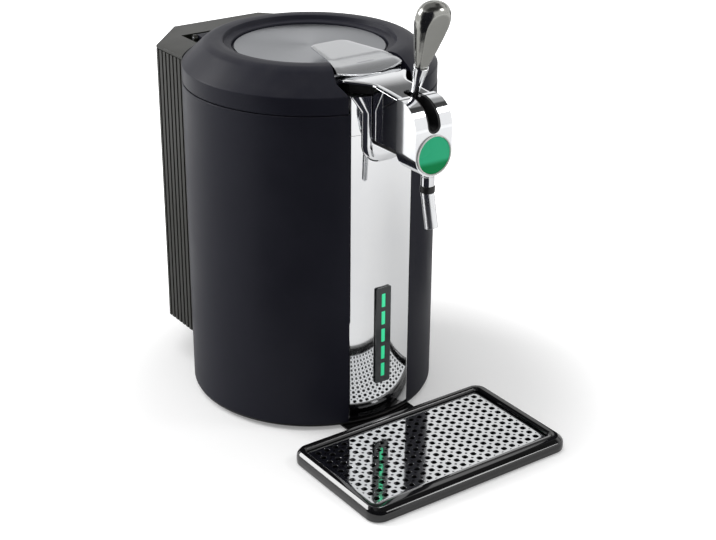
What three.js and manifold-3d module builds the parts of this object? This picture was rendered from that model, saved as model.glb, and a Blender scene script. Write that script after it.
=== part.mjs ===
// Counter-top beer dispenser for a five litre mini keg, in millimetres, +Z up, front towards -Y.
import * as THREE from "three";
import { mergeVertices } from "three/addons/utils/BufferGeometryUtils.js";
import Module from "manifold-3d";

// General values
const seatGap = 0.3; // between two pieces that rest on each other
const slideGap = 0.6; // beside a piece that slides or turns
const cutOverrun = 6; // how far a cutting shape passes the material
const bigSides = 48;
const middleSides = 24;
const smallSides = 12;
const arcSteps = 6;

// Keg and the bay round it, which set the width and the height of the machine
const kegRadius = 86;
const kegHeight = 250;
const kegClearance = 3;
const kegHeadroom = 37; // from the keg's top to the casing's rim
const linerWall = 1.5;
const foamThickness = 25.2;
const foamRoom = 3.5; // between the foam and the casing
const bottomFoam = 22.3;
const restRadius = 60;
const restHeight = 4;
const foamFlatDepth = 4; // how much of the foam is cut off behind the tap
const foamFlatHeight = 48;
const linerInnerRadius = kegRadius + kegClearance;
const linerOuterRadius = linerInnerRadius + linerWall;
const insulationRadius = linerOuterRadius + seatGap + foamThickness;

// Casing
const casingWall = 3;
const casingBottom = 6;
const openingHalfWidth = 35.2;
const windowMargin = 6; // round the heat sink
const casingRadius = insulationRadius + foamRoom + casingWall;

// Base plate and feet
const footCount = 4;
const footHeight = 3.3;
const footRadius = 11;
const footInset = 26.2;
const baseInset = 1.3;
const baseFlange = 6.2;
const baseHubRise = 5.7;
const baseRadius = casingRadius - baseInset;
const baseHubRadius = baseRadius - baseFlange;
const baseHubTop = casingBottom + baseHubRise;
const footCircleRadius = baseRadius - footInset;
const linerBottom = baseHubTop + bottomFoam;
const casingTop = linerBottom + kegHeight + kegHeadroom;

// Top deck around the keg mouth
const deckDrop = 1.5; // below the casing's rim
const deckThickness = 3;
const deckLip = 2.2;
const deckSkirt = 15.8;
const deckTop = casingTop - deckDrop;
const linerTop = deckTop - deckSkirt;
const insulationCutBottom = deckTop - deckThickness - foamFlatHeight;

// Lid, by the width and the rise of each part of its top from the rim inwards
const lidGap = 0.4; // between casing and lid
const lidSkirtHeight = 17;
const lidChamferWidth = 16.2;
const lidChamferRise = 14.5;
const lidShoulderWidth = 6;
const lidShoulderRise = 5.5;
const lidCrownWidth = 5;
const lidCrownRise = 1.6;
const lidRollWidth = 11;
const lidStepWidth = 3.5;
const lidStepDrop = 4.6;
const lidLedgeWidth = 8;
const discDrop = 0.4;
const discThickness = 2.6;
const discEdge = 0.6;
const discMoat = 1.6; // width of the dark groove around the disc
const lidWall = 2.4;
const lidLinerRise = 1;
const lidLinerThickness = 3;
const lidPlugInset = 3;
const lidPlugDepth = 7;
const sealInset = 3;
const sealWidth = 6;
const lidRadius = casingRadius - seatGap;
const lidBottom = casingTop + lidGap;
const lidSkirtTop = casingTop + lidSkirtHeight;
const lidChamferRadius = lidRadius - lidChamferWidth;
const lidChamferTop = lidSkirtTop + lidChamferRise;
const lidShoulderRadius = lidChamferRadius - lidShoulderWidth;
const lidShoulderTop = lidChamferTop + lidShoulderRise;
const lidCrownRadius = lidShoulderRadius - lidCrownWidth;
const lidCrownTop = lidShoulderTop + lidCrownRise;
const lidLipRadius = lidCrownRadius - lidRollWidth;
const lidLipTop = lidCrownTop - lidCrownRise;
const lidStepRadius = lidLipRadius - lidStepWidth;
const lidStepTop = lidLipTop - lidStepDrop;
const discRadius = lidStepRadius - lidLedgeWidth;
const discTop = lidStepTop - discDrop;
const lidLinerBottom = casingTop + lidLinerRise;
const lidPlugRadius = linerInnerRadius - lidPlugInset;
const sealInnerRadius = linerInnerRadius + sealInset;
const sealOuterRadius = sealInnerRadius + sealWidth;

// Chrome front panel
const panelThickness = 2;
const panelRise = 4; // above the casing's lower rim
const upperPanelHeight = 37;
const panelBottom = casingBottom + panelRise;
const panelTop = lidSkirtTop;
const panelSplit = panelTop - upperPanelHeight;

// Level display
const displayHalfWidth = 8.8;
const displayRise = 33.5;
const displayHeight = 102;
const displayStand = 1.9; // how far its face stands in front of the panel
const barCount = 5;
const barWidth = 5;
const barHeightShare = 0.137; // of the display's height
const barPitchShare = 0.182;
const barPocketDepth = 0.9;
const boardThickness = 1.6;
const boardSetBack = 0.7;
const displayBottom = panelBottom + displayRise;
const displayTop = displayBottom + displayHeight;
const barHeight = displayHeight * barHeightShare;
const barPitch = displayHeight * barPitchShare;

// Notch in the lid that takes the latch plate and the tap arm
const plateFrontHalfWidth = 36;
const notchSideRoom = 5;
const notchBackInset = 4.5;
const notchMidInset = 18.2;
const notchFrontInset = 5.2;
const notchFullInset = 22.2; // from here to the front the notch passes right through
const notchBackGap = 2.5;
const notchFloorThickness = 2.2;
const notchMidHalfWidth = plateFrontHalfWidth + notchSideRoom;
const notchFrontHalfWidth = plateFrontHalfWidth;
const notchBackHalfWidth = plateFrontHalfWidth - notchBackInset;
const notchMidReach = lidRadius - notchMidInset;
const notchFrontReach = lidRadius - notchFrontInset;
const notchFullReach = lidRadius - notchFullInset;
const notchBackReach = discRadius + notchBackGap;

// Latch plate, with lengths behind its front edge and heights from the lid's crown
const plateBackLength = 75;
const plateMidLength = 26;
const plateBendLength = 10;
const plateBackHalfWidth = 20;
const plateCornerRadius = 6;
const plateThickness = 1.8;
const plateBackRise = 2.4;
const plateMidRise = 1.2;
const plateBendDrop = 1.8;
const plateFrontDrop = 8.2;
const latchPinSetBack = 0.6;
const latchPinDrop = 8.4;
const latchPinRadius = 1.5;
const latchEarWidth = 4;
const latchEarOffset = 28;
const latchEarRadius = 3.2;
const hookHalfWidth = 9;
const hookThickness = 2.6;
const hookNoseHeight = 4;
const hookNoseLength = 1.8; // under the tongue of the arm
const plateFrontRadius = notchMidReach;
const plateBackReach = plateFrontRadius - plateBackLength;
const plateMidReach = plateFrontRadius - plateMidLength;
const plateBendReach = plateFrontRadius - plateBendLength;
const plateBackTop = lidCrownTop + plateBackRise;
const plateMidTop = lidCrownTop + plateMidRise;
const plateBendTop = lidCrownTop - plateBendDrop;
const plateFrontTop = lidCrownTop - plateFrontDrop;
const latchPinReach = plateBendReach - latchPinSetBack;
const latchPinHeight = lidCrownTop - latchPinDrop;
const notchFloor = latchPinHeight - latchEarRadius - slideGap;

// Lid hinge
const hingeSetBack = 8.5; // behind the casing
const hingeDrop = 2.5; // below the rear unit's top
const hingePinRadius = 2;
const hingeLugRadius = 4;
const hingeLugWidth = 14;
const hingeLugOffset = 42;
const hingeEarWidth = 4;
const hingeReach = casingRadius + hingeSetBack;

// Rear unit
const rearInset = 24.5; // of its sides from the casing's
const rearShoulderSetBack = 3.5;
const rearDepth = 53.5; // behind the casing
const rearBackHalfWidth = 50.5;
const rearRise = 37; // above the casing's lower rim
const rearTopRise = 0.5; // above the lid's skirt
const rearWall = 3.2;
const rearTopThickness = 3.5;
const ribPitch = 7.2;
const grooveWidth = 2.6;
const grooveDepth = 2;
const ventHalfWidth = 38;
const ventHalfHeight = 37;
const recessHalfWidth = 61.5;
const recessBehindHinge = 10;
const recessDepth = 8;
const recessWall = 2.4;
const rearHalfWidth = casingRadius - rearInset;
const rearShoulderReach = casingRadius + rearShoulderSetBack;
const rearBackReach = casingRadius + rearDepth;
const rearInnerBack = rearBackReach - rearWall;
const rearBottom = casingBottom + rearRise;
const rearTop = lidSkirtTop + rearTopRise;
const recessReach = hingeReach + recessBehindHinge;
const recessFloor = rearTop - recessDepth;
const hingeHeight = rearTop - hingeDrop;

// Cooling train
const coldRise = 101; // of its middle above the liner's floor
const coldBlockHalfWidth = 25;
const coldBlockHeight = 52;
const peltierSide = 40;
const peltierThickness = 4;
const sinkHalfWidth = 45;
const sinkHeight = 110;
const sinkBaseThickness = 8;
const sinkFinLength = 19.1;
const sinkFinCount = 11;
const sinkFinThickness = 1.6;
const fanSide = 92;
const fanThickness = 20;
const fanBoreRadius = 43;
const fanHubRadius = 16;
const fanBladeReach = 41;
const fanBladeCount = 7;
const fanBladeThickness = 1.6;
const fanBladeWidth = 15;
const fanBladePitch = THREE.MathUtils.degToRad(35);
const fanArmWidth = 5;
const fanArmThickness = 3;
const fanMotorRadius = 14;
const fanShaftRadius = 2.5;
const coldCentre = linerBottom + coldRise;
const coldBlockBack = insulationRadius;
const sinkFront = coldBlockBack + seatGap + peltierThickness + seatGap;
const sinkBack = sinkFront + sinkBaseThickness + sinkFinLength;
const fanFront = sinkBack + seatGap;
const fanBack = fanFront + fanThickness;
const ventBottom = coldCentre - ventHalfHeight;
const ventTop = coldCentre + ventHalfHeight;
const windowHalfWidth = sinkHalfWidth + windowMargin;
const windowBottom = coldCentre - sinkHeight / 2 - windowMargin;
const windowTop = coldCentre + sinkHeight / 2 + windowMargin;

// Power supply, inlet and button
const supplyHalfWidth = 45;
const supplySetBack = 9.5; // behind the casing
const supplyDrop = 38.5; // below the rear unit's top
const supplyHeight = 85;
const inletOffset = -26;
const inletRise = 23;
const inletRadius = 7;
const inletBoreRadius = 3.2;
const inletBoreDepth = 9;
const inletPinRadius = 1;
const inletDepth = 14;
const buttonOffset = 26;
const buttonRadius = 7.4;
const buttonHeadDepth = 5;
const buttonStemRadius = 4;
const buttonStemLength = 11;
const switchSide = 22;
const switchDepth = 10;
const buttonTravelRoom = 3;
const supplyFront = casingRadius + supplySetBack;
const supplyTop = rearTop - supplyDrop;
const supplyBottom = supplyTop - supplyHeight;
const inletHeight = rearBottom + inletRise;
const buttonHeight = inletHeight;

// Tap collar on the panel
const collarThickness = 3.4;
const collarHalfWidth = 24.5;
const collarTopHalfWidth = 35;
const collarHeight = 64.5;
const collarFlareHeight = 16;
const collarCornerRadius = 18;
const bracketHalfWidth = 28;
const bracketRise = 2.5; // above the collar's lower edge
const bracketThickness = 3.6;
const screwRadius = 2;
const screwHeadRadius = 3.8;
const screwHeadHeight = 2.4;
const screwLength = 22;
const lowerScrewDrop = 4; // below the split of the panel
const upperScrewRise = 8.5;
const panelInnerRadius = casingRadius - panelThickness;
const collarRadius = casingRadius + seatGap + collarThickness;
const collarTop = panelTop;
const collarBottom = collarTop - collarHeight;
const collarStraightTop = collarTop - collarFlareHeight;
const bracketBottom = collarBottom + bracketRise;
const lowerScrewHeight = panelSplit - lowerScrewDrop;
const upperScrewHeight = panelSplit + upperScrewRise;
const insulationFrontCut = insulationRadius - foamFlatDepth;

// Tap arm
const armHalfWidth = 14.6;
const armSideThickness = 2.1;
const armHeight = 57.9;
const armDrop = 2.1; // of its rear end below the lid's chamfer
const armFall = 6.4; // from its rear end to its front
const armSideRise = 4.5;
const armTongueRise = 1; // above the lid's skirt
const armTongueInset = 19.9;
const armTongueHalfWidth = 30;
const armCoverThickness = 2.6;
const armCoverInset = 16.9;
const armCoverRearHalfWidth = 36;
const armCoverFlareLength = 3.5; // in front of the casing
const armCoverHalfWidth = 17.2;
const headReach = 71.5; // in front of the casing
const headDepth = 28;
const channelHalfWidth = 5.2;
const channelRearRise = 2;
const channelFrontRise = 5.1;
const channelBendLength = 2;
const channelFootLength = 28;
const armRearTop = lidChamferTop - armDrop;
const armFrontTop = armRearTop - armFall;
const armBottom = armRearTop - armHeight;
const armSideBottom = armBottom + armSideRise;
const armTongueBottom = lidSkirtTop + armTongueRise;
const armRearReach = casingRadius - armTongueInset;
const armCoverRearReach = casingRadius - armCoverInset;
const armCoverFlareReach = casingRadius + armCoverFlareLength;
const headFront = casingRadius + headReach;
const headBack = headFront - headDepth;
const channelRearFloor = armTongueBottom + channelRearRise;
const channelFrontFloor = armBottom + channelFrontRise;
const channelBendReach = armCoverFlareReach + channelBendLength;
const channelFootReach = headBack - channelFootLength;
const hookNoseTop = armTongueBottom - slideGap;
const hookBottom = hookNoseTop - hookNoseHeight;
const hookNoseReach = armRearReach + hookNoseLength;

// Tap head and badge
const headHalfWidth = 20;
const headCrown = 5; // room above its front edge
const badgeRise = 7; // of its middle above the arm's underside
const headNoseRadius = 25;
const slotHalfWidth = 7;
const slotRise = 19.5; // above the badge's middle
const cavityDrop = 3.5;
const cavityFrontWall = 2.2;
const cavityRoof = 4; // under the slot
const badgeRingRadius = 18.4;
const badgeRadius = 17;
const badgeRingThickness = 1.6;
const badgeThickness = 1.1;
const guideWall = 1.4;
const badgeHeight = armBottom + badgeRise;
const headTop = armFrontTop + headCrown;
const slotBottom = badgeHeight + slotRise;
const cavityBottom = badgeHeight - cavityDrop;
const cavityFront = headFront - cavityFrontWall;
const cavityTop = slotBottom - cavityRoof;

// Spout
const spoutSetBack = 7.6; // behind the head's front
const stubRadius = 6.4;
const stubDrop = 11.5; // below the badge's middle
const stubHeight = 19.1;
const stubNeckRadius = 6.1;
const stubNeckHeight = 9;
const collarRingRadius = 6.8;
const collarRingHeight = 5.5;
const spoutTubeRadius = 6.1;
const spoutBoreRadius = 4.2;
const spoutLength = 38.4;
const spoutReach = headFront - spoutSetBack;
const spoutTipReach = headFront;
const stubTop = badgeHeight - stubDrop;
const stubBottom = stubTop - stubHeight;
const stubNeckTop = stubBottom + stubNeckHeight;
const spoutTipHeight = stubBottom - spoutLength;
const collarRingTop = stubBottom - seatGap;
const collarRingBottom = collarRingTop - collarRingHeight;

// Tap lever
const leverPivotSetBack = 37.7; // behind the head's front
const leverPivotRise = 2; // above the slot's floor
const leverSlotRoom = 2.8; // of the slot behind the pivot
const leverLean = THREE.MathUtils.degToRad(17.6);
const leverPinRadius = 2;
const leverPinHalfLength = 14;
const leverHubRadius = 6.2;
const leverHubHalfWidth = 4.3;
const leverNeckRadius = 3;
const leverNeckLength = 28;
const leverConeRadius = 6.9;
const leverConeLength = 28;
const gripLength = 62.5;
const gripNeckRadius = 7;
const gripRadius = 16.6;
const gripFlatShare = 0.8;
const gripHeightShares = [0, 0.04, 0.11, 0.29, 0.48, 0.66, 0.76, 0.86, 0.94, 0.985];
const gripWidthShares = [0.4, 0.44, 0.52, 0.68, 0.84, 0.965, 1, 0.94, 0.75, 0.46];
const facetLowShare = 0.66; // of the grip's neck radius, in front of its middle
const facetTopShare = 0.7; // of the grip's radius
const pinchHalfWidth = 4.7;
const pinchHalfDepth = 5;
const pinchRise = 6.5; // above the cavity's floor
const pinchHeight = 9.3;
const leverPivotReach = headFront - leverPivotSetBack;
const leverPivotHeight = slotBottom + leverPivotRise;
const slotBackReach = leverPivotReach - leverSlotRoom;
const leverConeTop = leverNeckLength + leverConeLength;
const gripBottom = leverConeTop + seatGap;
const gripTop = gripBottom + gripLength;
const facetLowReach = gripNeckRadius * facetLowShare;
const facetTopReach = gripRadius * facetTopShare;
const pinchBottom = cavityBottom + pinchRise;
const pinchTop = pinchBottom + pinchHeight;

// Drip tray and grille
const trayHalfWidth = 114.5;
const trayDepth = 135.5;
const trayGap = 13; // in front of the casing
const trayTop = 13.6;
const trayCornerRadius = 14;
const trayEdgeRadius = 4;
const trayFloor = 2.2;
const traySideFrame = 11.5;
const trayFrontFrame = 18.4;
const trayBackFrame = 8.9;
const grilleCornerRadius = 3;
const grilleDrop = 4.4; // below the rim
const grilleThickness = 1.2;
const grilleClearance = 0.5;
const ledgeWidth = 3;
const rimFoot = 5; // width of the rim outside the pan
const tongueRoot = 3; // of the tongue on the pan
const holeColumns = 20;
const holeRows = 11;
const holeSideMargin = 8.665;
const holeEndMargin = 7.6;
const holeShare = 0.58; // of the pitch between two rows
const tongueHalfWidth = 40;
const tongueLength = 35.5;
const tongueBottom = 0.8;
const trayBack = casingRadius + trayGap;
const trayFront = trayBack + trayDepth;
const grilleHalfWidth = trayHalfWidth - traySideFrame;
const grilleFront = trayFront - trayFrontFrame;
const grilleBack = trayBack + trayBackFrame;
const grilleTop = trayTop - grilleDrop;
const holeColumnPitch = (2 * (grilleHalfWidth - holeSideMargin)) / (holeColumns - 1);
const holeRowPitch = (grilleFront - grilleBack - 2 * holeEndMargin) / (holeRows - 1);
const holeSide = holeRowPitch * holeShare;
const tongueReach = trayBack - tongueLength;
const tongueTop = footHeight - seatGap;

// Derived places
const baseBottom = footHeight + seatGap;
const machineCentre = (rearBackReach - trayFront) / 2;

const wasm = await Module();
wasm.setup();

// A geometry as a solid, with its faces turned outwards.
function solid(geometry) {
  const bare = new THREE.BufferGeometry();
  bare.setAttribute("position", geometry.getAttribute("position").clone());
  if (geometry.index) bare.setIndex(geometry.index.clone());
  const merged = mergeVertices(bare, 1e-4);
  const index = merged.index.array;
  const kept = [];
  for (let i = 0; i < index.length; i += 3) {
    const [a, b, c] = [index[i], index[i + 1], index[i + 2]];
    if (a !== b && b !== c && c !== a) kept.push(a, b, c);
  }
  const build = (list) =>
    new wasm.Manifold(
      new wasm.Mesh({
        numProp: 3,
        vertProperties: merged.getAttribute("position").array,
        triVerts: new Uint32Array(list),
      }),
    );
  const made = build(kept);
  return made.volume() < 0 ? build(kept.reverse()) : made;
}

const join = (...solids) => solids.reduce((a, b) => a.add(b));
const cut = (body, ...tools) => tools.reduce((a, b) => a.subtract(b), body);
const common = (a, b) => a.intersect(b);

// A solid as a flat-shaded geometry.
function surface(made) {
  const mesh = made.getMesh();
  const count = mesh.vertProperties.length / mesh.numProp;
  const points = new Float32Array(count * 3);
  for (let i = 0; i < count; i++) {
    const start = i * mesh.numProp;
    points.set(mesh.vertProperties.subarray(start, start + 3), i * 3);
  }
  const indexed = new THREE.BufferGeometry();
  indexed.setAttribute("position", new THREE.BufferAttribute(points, 3));
  indexed.setIndex(new THREE.BufferAttribute(mesh.triVerts, 1));
  const flat = indexed.toNonIndexed();
  flat.computeVertexNormals();
  return flat;
}

// A box between two limits on each axis.
function block([x0, x1], [y0, y1], [z0, z1]) {
  const box = new THREE.BoxGeometry(x1 - x0, y1 - y0, z1 - z0);
  return solid(box.translate((x0 + x1) / 2, (y0 + y1) / 2, (z0 + z1) / 2));
}

// A profile of [radius, height] points turned about the Z axis.
function turned(profile, sides = bigSides) {
  const points = profile.map(([r, z]) => new THREE.Vector2(r, z));
  if (profile[0][0] !== 0) points.push(points[0].clone());
  return solid(new THREE.LatheGeometry(points, sides).rotateX(Math.PI / 2));
}

const drum = (radius, z0, z1, sides = bigSides) =>
  turned([[0, z0], [radius, z0], [radius, z1], [0, z1]], sides);

const ring = (inner, outer, z0, z1, sides = bigSides) =>
  turned([[inner, z0], [outer, z0], [outer, z1], [inner, z1]], sides);

// A round bar from one point to another.
function rod(radius, from, to, sides = smallSides) {
  const start = new THREE.Vector3(...from);
  const along = new THREE.Vector3(...to).sub(start);
  const bar = new THREE.CylinderGeometry(radius, radius, along.length(), sides);
  bar.translate(0, along.length() / 2, 0);
  const up = new THREE.Vector3(0, 1, 0);
  bar.applyQuaternion(new THREE.Quaternion().setFromUnitVectors(up, along.clone().normalize()));
  return solid(bar.translate(start.x, start.y, start.z));
}

const outline = (points) => new THREE.Shape(points.map(([a, b]) => new THREE.Vector2(a, b)));

function extruded(shape, depth) {
  const options = { depth, bevelEnabled: false, curveSegments: arcSteps };
  return new THREE.ExtrudeGeometry(shape, options);
}

// A plan outline in x and y, raised from z0 to z1.
const raised = (shape, z0, z1) => solid(extruded(shape, z1 - z0).translate(0, 0, z0));

// A front outline in x and z, running from y0 back to y1.
const fronted = (shape, y0, y1) =>
  solid(extruded(shape, y1 - y0).rotateX(Math.PI / 2).translate(0, y1, 0));

// A side outline in y and z, running from x0 to x1.
function sided(shape, x0, x1) {
  const turn = new THREE.Matrix4().makeBasis(
    new THREE.Vector3(0, 1, 0),
    new THREE.Vector3(0, 0, 1),
    new THREE.Vector3(1, 0, 0),
  );
  return solid(extruded(shape, x1 - x0).applyMatrix4(turn).translate(x0, 0, 0));
}

// A rectangle in plan with round corners.
function roundedPlan(halfWidth, y0, y1, radius) {
  const shape = new THREE.Shape();
  shape.moveTo(-halfWidth + radius, y0);
  shape.absarc(halfWidth - radius, y0 + radius, radius, -Math.PI / 2, 0);
  shape.absarc(halfWidth - radius, y1 - radius, radius, 0, Math.PI / 2);
  shape.absarc(-halfWidth + radius, y1 - radius, radius, Math.PI / 2, Math.PI);
  shape.absarc(-halfWidth + radius, y0 + radius, radius, Math.PI, 1.5 * Math.PI);
  return shape;
}

const mirrored = (points) => [...points, ...points.map(([x, y]) => [-x, y]).reverse()];
const depthAt = (radius, x) => Math.sqrt(radius * radius - x * x);
const reach = casingRadius + cutOverrun;

// Finishes
const finish = (color, roughness, metalness) =>
  new THREE.MeshStandardMaterial({ color, roughness, metalness, flatShading: true });
const softCharcoal = () => finish(0x2e2f38, 0.55, 0);
const oliveBlack = () => finish(0x24261f, 0.5, 0);
const glossBlack = () => finish(0x0b0b0d, 0.12, 0);
const mattBlack = () => finish(0x111113, 0.6, 0);
const chrome = () => finish(0xe8e8ea, 0.06, 1);
const satinSilver = () => finish(0xc9cbd0, 0.3, 1);
const aluminium = () => finish(0xb9bcc0, 0.4, 1);
const rubber = () => finish(0x151515, 0.85, 0);
const foam = () => finish(0xe9e4d2, 0.9, 0);
const displayGrey = () => finish(0x33373a, 0.4, 0);
const litGreen = () => finish(0x3ddc8a, 0.3, 0);
const badgeGreen = () => finish(0x1f9a60, 0.3, 0);
const white = () => finish(0xf2f2f0, 0.35, 0);

const dispenser = new THREE.Group();
dispenser.position.y = -machineCentre;

function piece(name, made, material, parent = dispenser) {
  const mesh = new THREE.Mesh(surface(made), material);
  mesh.name = name;
  parent.add(mesh);
}

// Stand
function buildStand() {
  const flangeTop = casingBottom - seatGap;
  const plate = turned([
    [0, baseBottom],
    [baseRadius, baseBottom],
    [baseRadius, flangeTop],
    [baseHubRadius, flangeTop],
    [baseHubRadius, baseHubTop],
    [0, baseHubTop],
  ]);
  piece("base_plate", plate, mattBlack());
  for (let i = 0; i < footCount; i++) {
    const angle = ((2 * i + 1) * Math.PI) / footCount;
    const foot = drum(footRadius, 0, footHeight, smallSides);
    const at = [footCircleRadius * Math.cos(angle), footCircleRadius * Math.sin(angle), 0];
    piece(`foot_${i + 1}`, foot.translate(at), rubber());
  }
}

// Casing, open in front for the panel and behind for the cooling train
function buildCasing() {
  const wall = ring(casingRadius - casingWall, casingRadius, casingBottom, casingTop);
  const front = block(
    [-openingHalfWidth, openingHalfWidth],
    [-reach, 0],
    [casingBottom - cutOverrun, casingTop + cutOverrun],
  );
  const back = block([-windowHalfWidth, windowHalfWidth], [0, reach], [windowBottom, windowTop]);
  piece("casing", cut(wall, front, back), softCharcoal());
}

const panelSlice = (z0, z1) => {
  const half = openingHalfWidth - seatGap;
  const slice = block([-half, half], [-reach, 0], [z0, z1]);
  return common(ring(panelInnerRadius, casingRadius, z0, z1, 2 * bigSides), slice);
};

const screwHoles = () =>
  [lowerScrewHeight, upperScrewHeight].map((z) =>
    rod(screwRadius + seatGap, [0, -reach - screwLength, z], [0, -insulationFrontCut, z]),
  );

function buildPanel() {
  piece("front_panel_lower", cut(panelSlice(panelBottom, panelSplit), screwHoles()[0]), chrome());
  const upper = panelSlice(panelSplit + seatGap, panelTop);
  piece("front_panel_upper", cut(upper, screwHoles()[1]), chrome());
}

function buildDisplay() {
  const face = -(casingRadius + displayStand);
  const behind = drum(casingRadius + seatGap, displayBottom - cutOverrun, displayTop + cutOverrun);
  const body = block([-displayHalfWidth, displayHalfWidth], [face, 0], [displayBottom, displayTop]);
  const middle = (displayBottom + displayTop) / 2;
  const heights = Array.from({ length: barCount }, (_, i) => {
    const centre = middle + (i - (barCount - 1) / 2) * barPitch;
    return [centre - barHeight / 2, centre + barHeight / 2];
  });
  const half = barWidth / 2;
  const floor = face + barPocketDepth;
  const pockets = heights.map(([low, high]) =>
    block([-half, half], [face - cutOverrun, floor], [low, high]),
  );
  piece("level_display", cut(body, behind, ...pockets), displayGrey());
  heights.forEach(([low, high], i) => {
    const edge = half - seatGap;
    const bar = block([-edge, edge], [face, floor - seatGap], [low + seatGap, high - seatGap]);
    piece(`level_bar_${i + 1}`, bar, litGreen());
  });
  const boardFace = -depthAt(panelInnerRadius, displayHalfWidth) + seatGap;
  const board = block(
    [-displayHalfWidth, displayHalfWidth],
    [boardFace, boardFace + boardThickness],
    [displayBottom + boardSetBack, displayTop - boardSetBack],
  );
  piece("display_board", board, finish(0x1d5a34, 0.5, 0));
}

// Keg bay: aluminium liner in a foam sleeve, closed above by the deck
function buildKegBay() {
  const liner = turned([
    [0, linerBottom],
    [linerOuterRadius, linerBottom],
    [linerOuterRadius, linerTop],
    [linerInnerRadius, linerTop],
    [linerInnerRadius, linerBottom + linerWall],
    [0, linerBottom + linerWall],
  ]);
  piece("keg_liner", liner, aluminium());
  const restBottom = linerBottom + linerWall + seatGap;
  piece("keg_rest", drum(restRadius, restBottom, restBottom + restHeight, middleSides), rubber());

  const foamInner = linerOuterRadius + seatGap;
  const foamTop = deckTop - deckThickness - seatGap;
  const sleeve = turned([
    [0, baseHubTop + seatGap],
    [insulationRadius, baseHubTop + seatGap],
    [insulationRadius, foamTop],
    [foamInner + deckLip + seatGap, foamTop],
    [foamInner + deckLip + seatGap, linerTop],
    [foamInner, linerTop],
    [foamInner, linerBottom - seatGap],
    [0, linerBottom - seatGap],
  ]);
  const flat = block(
    [-reach, reach],
    [-reach, -insulationFrontCut],
    [insulationCutBottom, foamTop + cutOverrun],
  );
  const passage = block(
    [-coldBlockHalfWidth - seatGap, coldBlockHalfWidth + seatGap],
    [0, reach],
    [coldCentre - coldBlockHeight / 2 - seatGap, coldCentre + coldBlockHeight / 2 + seatGap],
  );
  piece("insulation", cut(sleeve, flat, passage), foam());

  const deckOuter = casingRadius - casingWall - seatGap;
  const deck = turned([
    [linerInnerRadius, linerTop + seatGap],
    [linerInnerRadius + deckLip, linerTop + seatGap],
    [linerInnerRadius + deckLip, deckTop - deckThickness],
    [deckOuter, deckTop - deckThickness],
    [deckOuter, deckTop],
    [linerInnerRadius, deckTop],
  ]);
  piece("top_deck", deck, mattBlack());
}

// Half width of the notch at a distance in front of the axis, behind its widest point
const notchHalfAt = (distance) => {
  const slope = (notchMidHalfWidth - notchBackHalfWidth) / (notchMidReach - notchBackReach);
  return notchMidHalfWidth - slope * (notchMidReach - distance);
};

// Plan of the notch that takes the latch plate and the tap arm, widened by a margin
const notchPlan = (margin, back, front) =>
  outline(
    mirrored([
      [notchFrontHalfWidth + margin, -front],
      [notchFrontHalfWidth + margin, -notchFrontReach],
      [notchMidHalfWidth + margin, -notchMidReach],
      [notchHalfAt(back) + margin, -back],
    ]),
  );

const lidOuter = () =>
  turned([
    [0, lidBottom],
    [lidRadius, lidBottom],
    [lidRadius, lidSkirtTop],
    [lidChamferRadius, lidChamferTop],
    [lidShoulderRadius, lidShoulderTop],
    [lidCrownRadius, lidCrownTop],
    [lidLipRadius, lidLipTop],
    [lidStepRadius, lidStepTop],
    [discRadius + discMoat, lidStepTop],
    [discRadius + discMoat, discTop - discThickness - seatGap],
    [0, discTop - discThickness - seatGap],
  ]);

const lidHollow = () =>
  turned([
    [0, lidBottom - cutOverrun],
    [lidRadius - lidWall, lidBottom - cutOverrun],
    [lidRadius - lidWall, lidSkirtTop - lidWall / 2],
    [lidChamferRadius - lidWall / 2, lidChamferTop - lidWall],
    [lidShoulderRadius - lidWall / 2, lidShoulderTop - lidWall],
    [lidCrownRadius, lidCrownTop - lidWall],
    [lidLipRadius + lidWall, lidLipTop - lidWall],
    [lidStepRadius + lidWall, lidStepTop - lidWall],
    [discRadius + discMoat + lidWall, lidStepTop - lidWall],
    [discRadius + discMoat + lidWall, discTop - discThickness - seatGap - lidWall],
    [0, discTop - discThickness - seatGap - lidWall],
  ]);

const hookPassage = (z0, z1) => {
  const half = hookHalfWidth + 2 * slideGap;
  const back = -latchPinReach + latchEarRadius + cutOverrun;
  return block([-half, half], [-notchFullReach, back], [z0, z1]);
};

// A bar on the latch plate's pivot
const latchPinHalf = notchHalfAt(latchPinReach) + notchFloorThickness / 2;
const latchRod = (radius, half) =>
  rod(radius, [-half, -latchPinReach, latchPinHeight], [half, -latchPinReach, latchPinHeight]);

function lidLugs() {
  return [-1, 1].map((side) => {
    const inner = side * hingeLugOffset - hingeLugWidth / 2;
    const outer = inner + hingeLugWidth;
    const root = lidRadius - lidWall;
    const start = depthAt(root, hingeLugOffset + hingeLugWidth / 2);
    const round = rod(
      hingeLugRadius,
      [inner, hingeReach, hingeHeight],
      [outer, hingeReach, hingeHeight],
    );
    const arm = block(
      [inner, outer],
      [start, hingeReach],
      [hingeHeight - hingeLugRadius, hingeHeight + hingeLugRadius / 2],
    );
    const bore = rod(
      hingePinRadius + seatGap,
      [inner - cutOverrun, hingeReach, hingeHeight],
      [outer + cutOverrun, hingeReach, hingeHeight],
    );
    return cut(join(round, arm), bore);
  });
}

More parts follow.
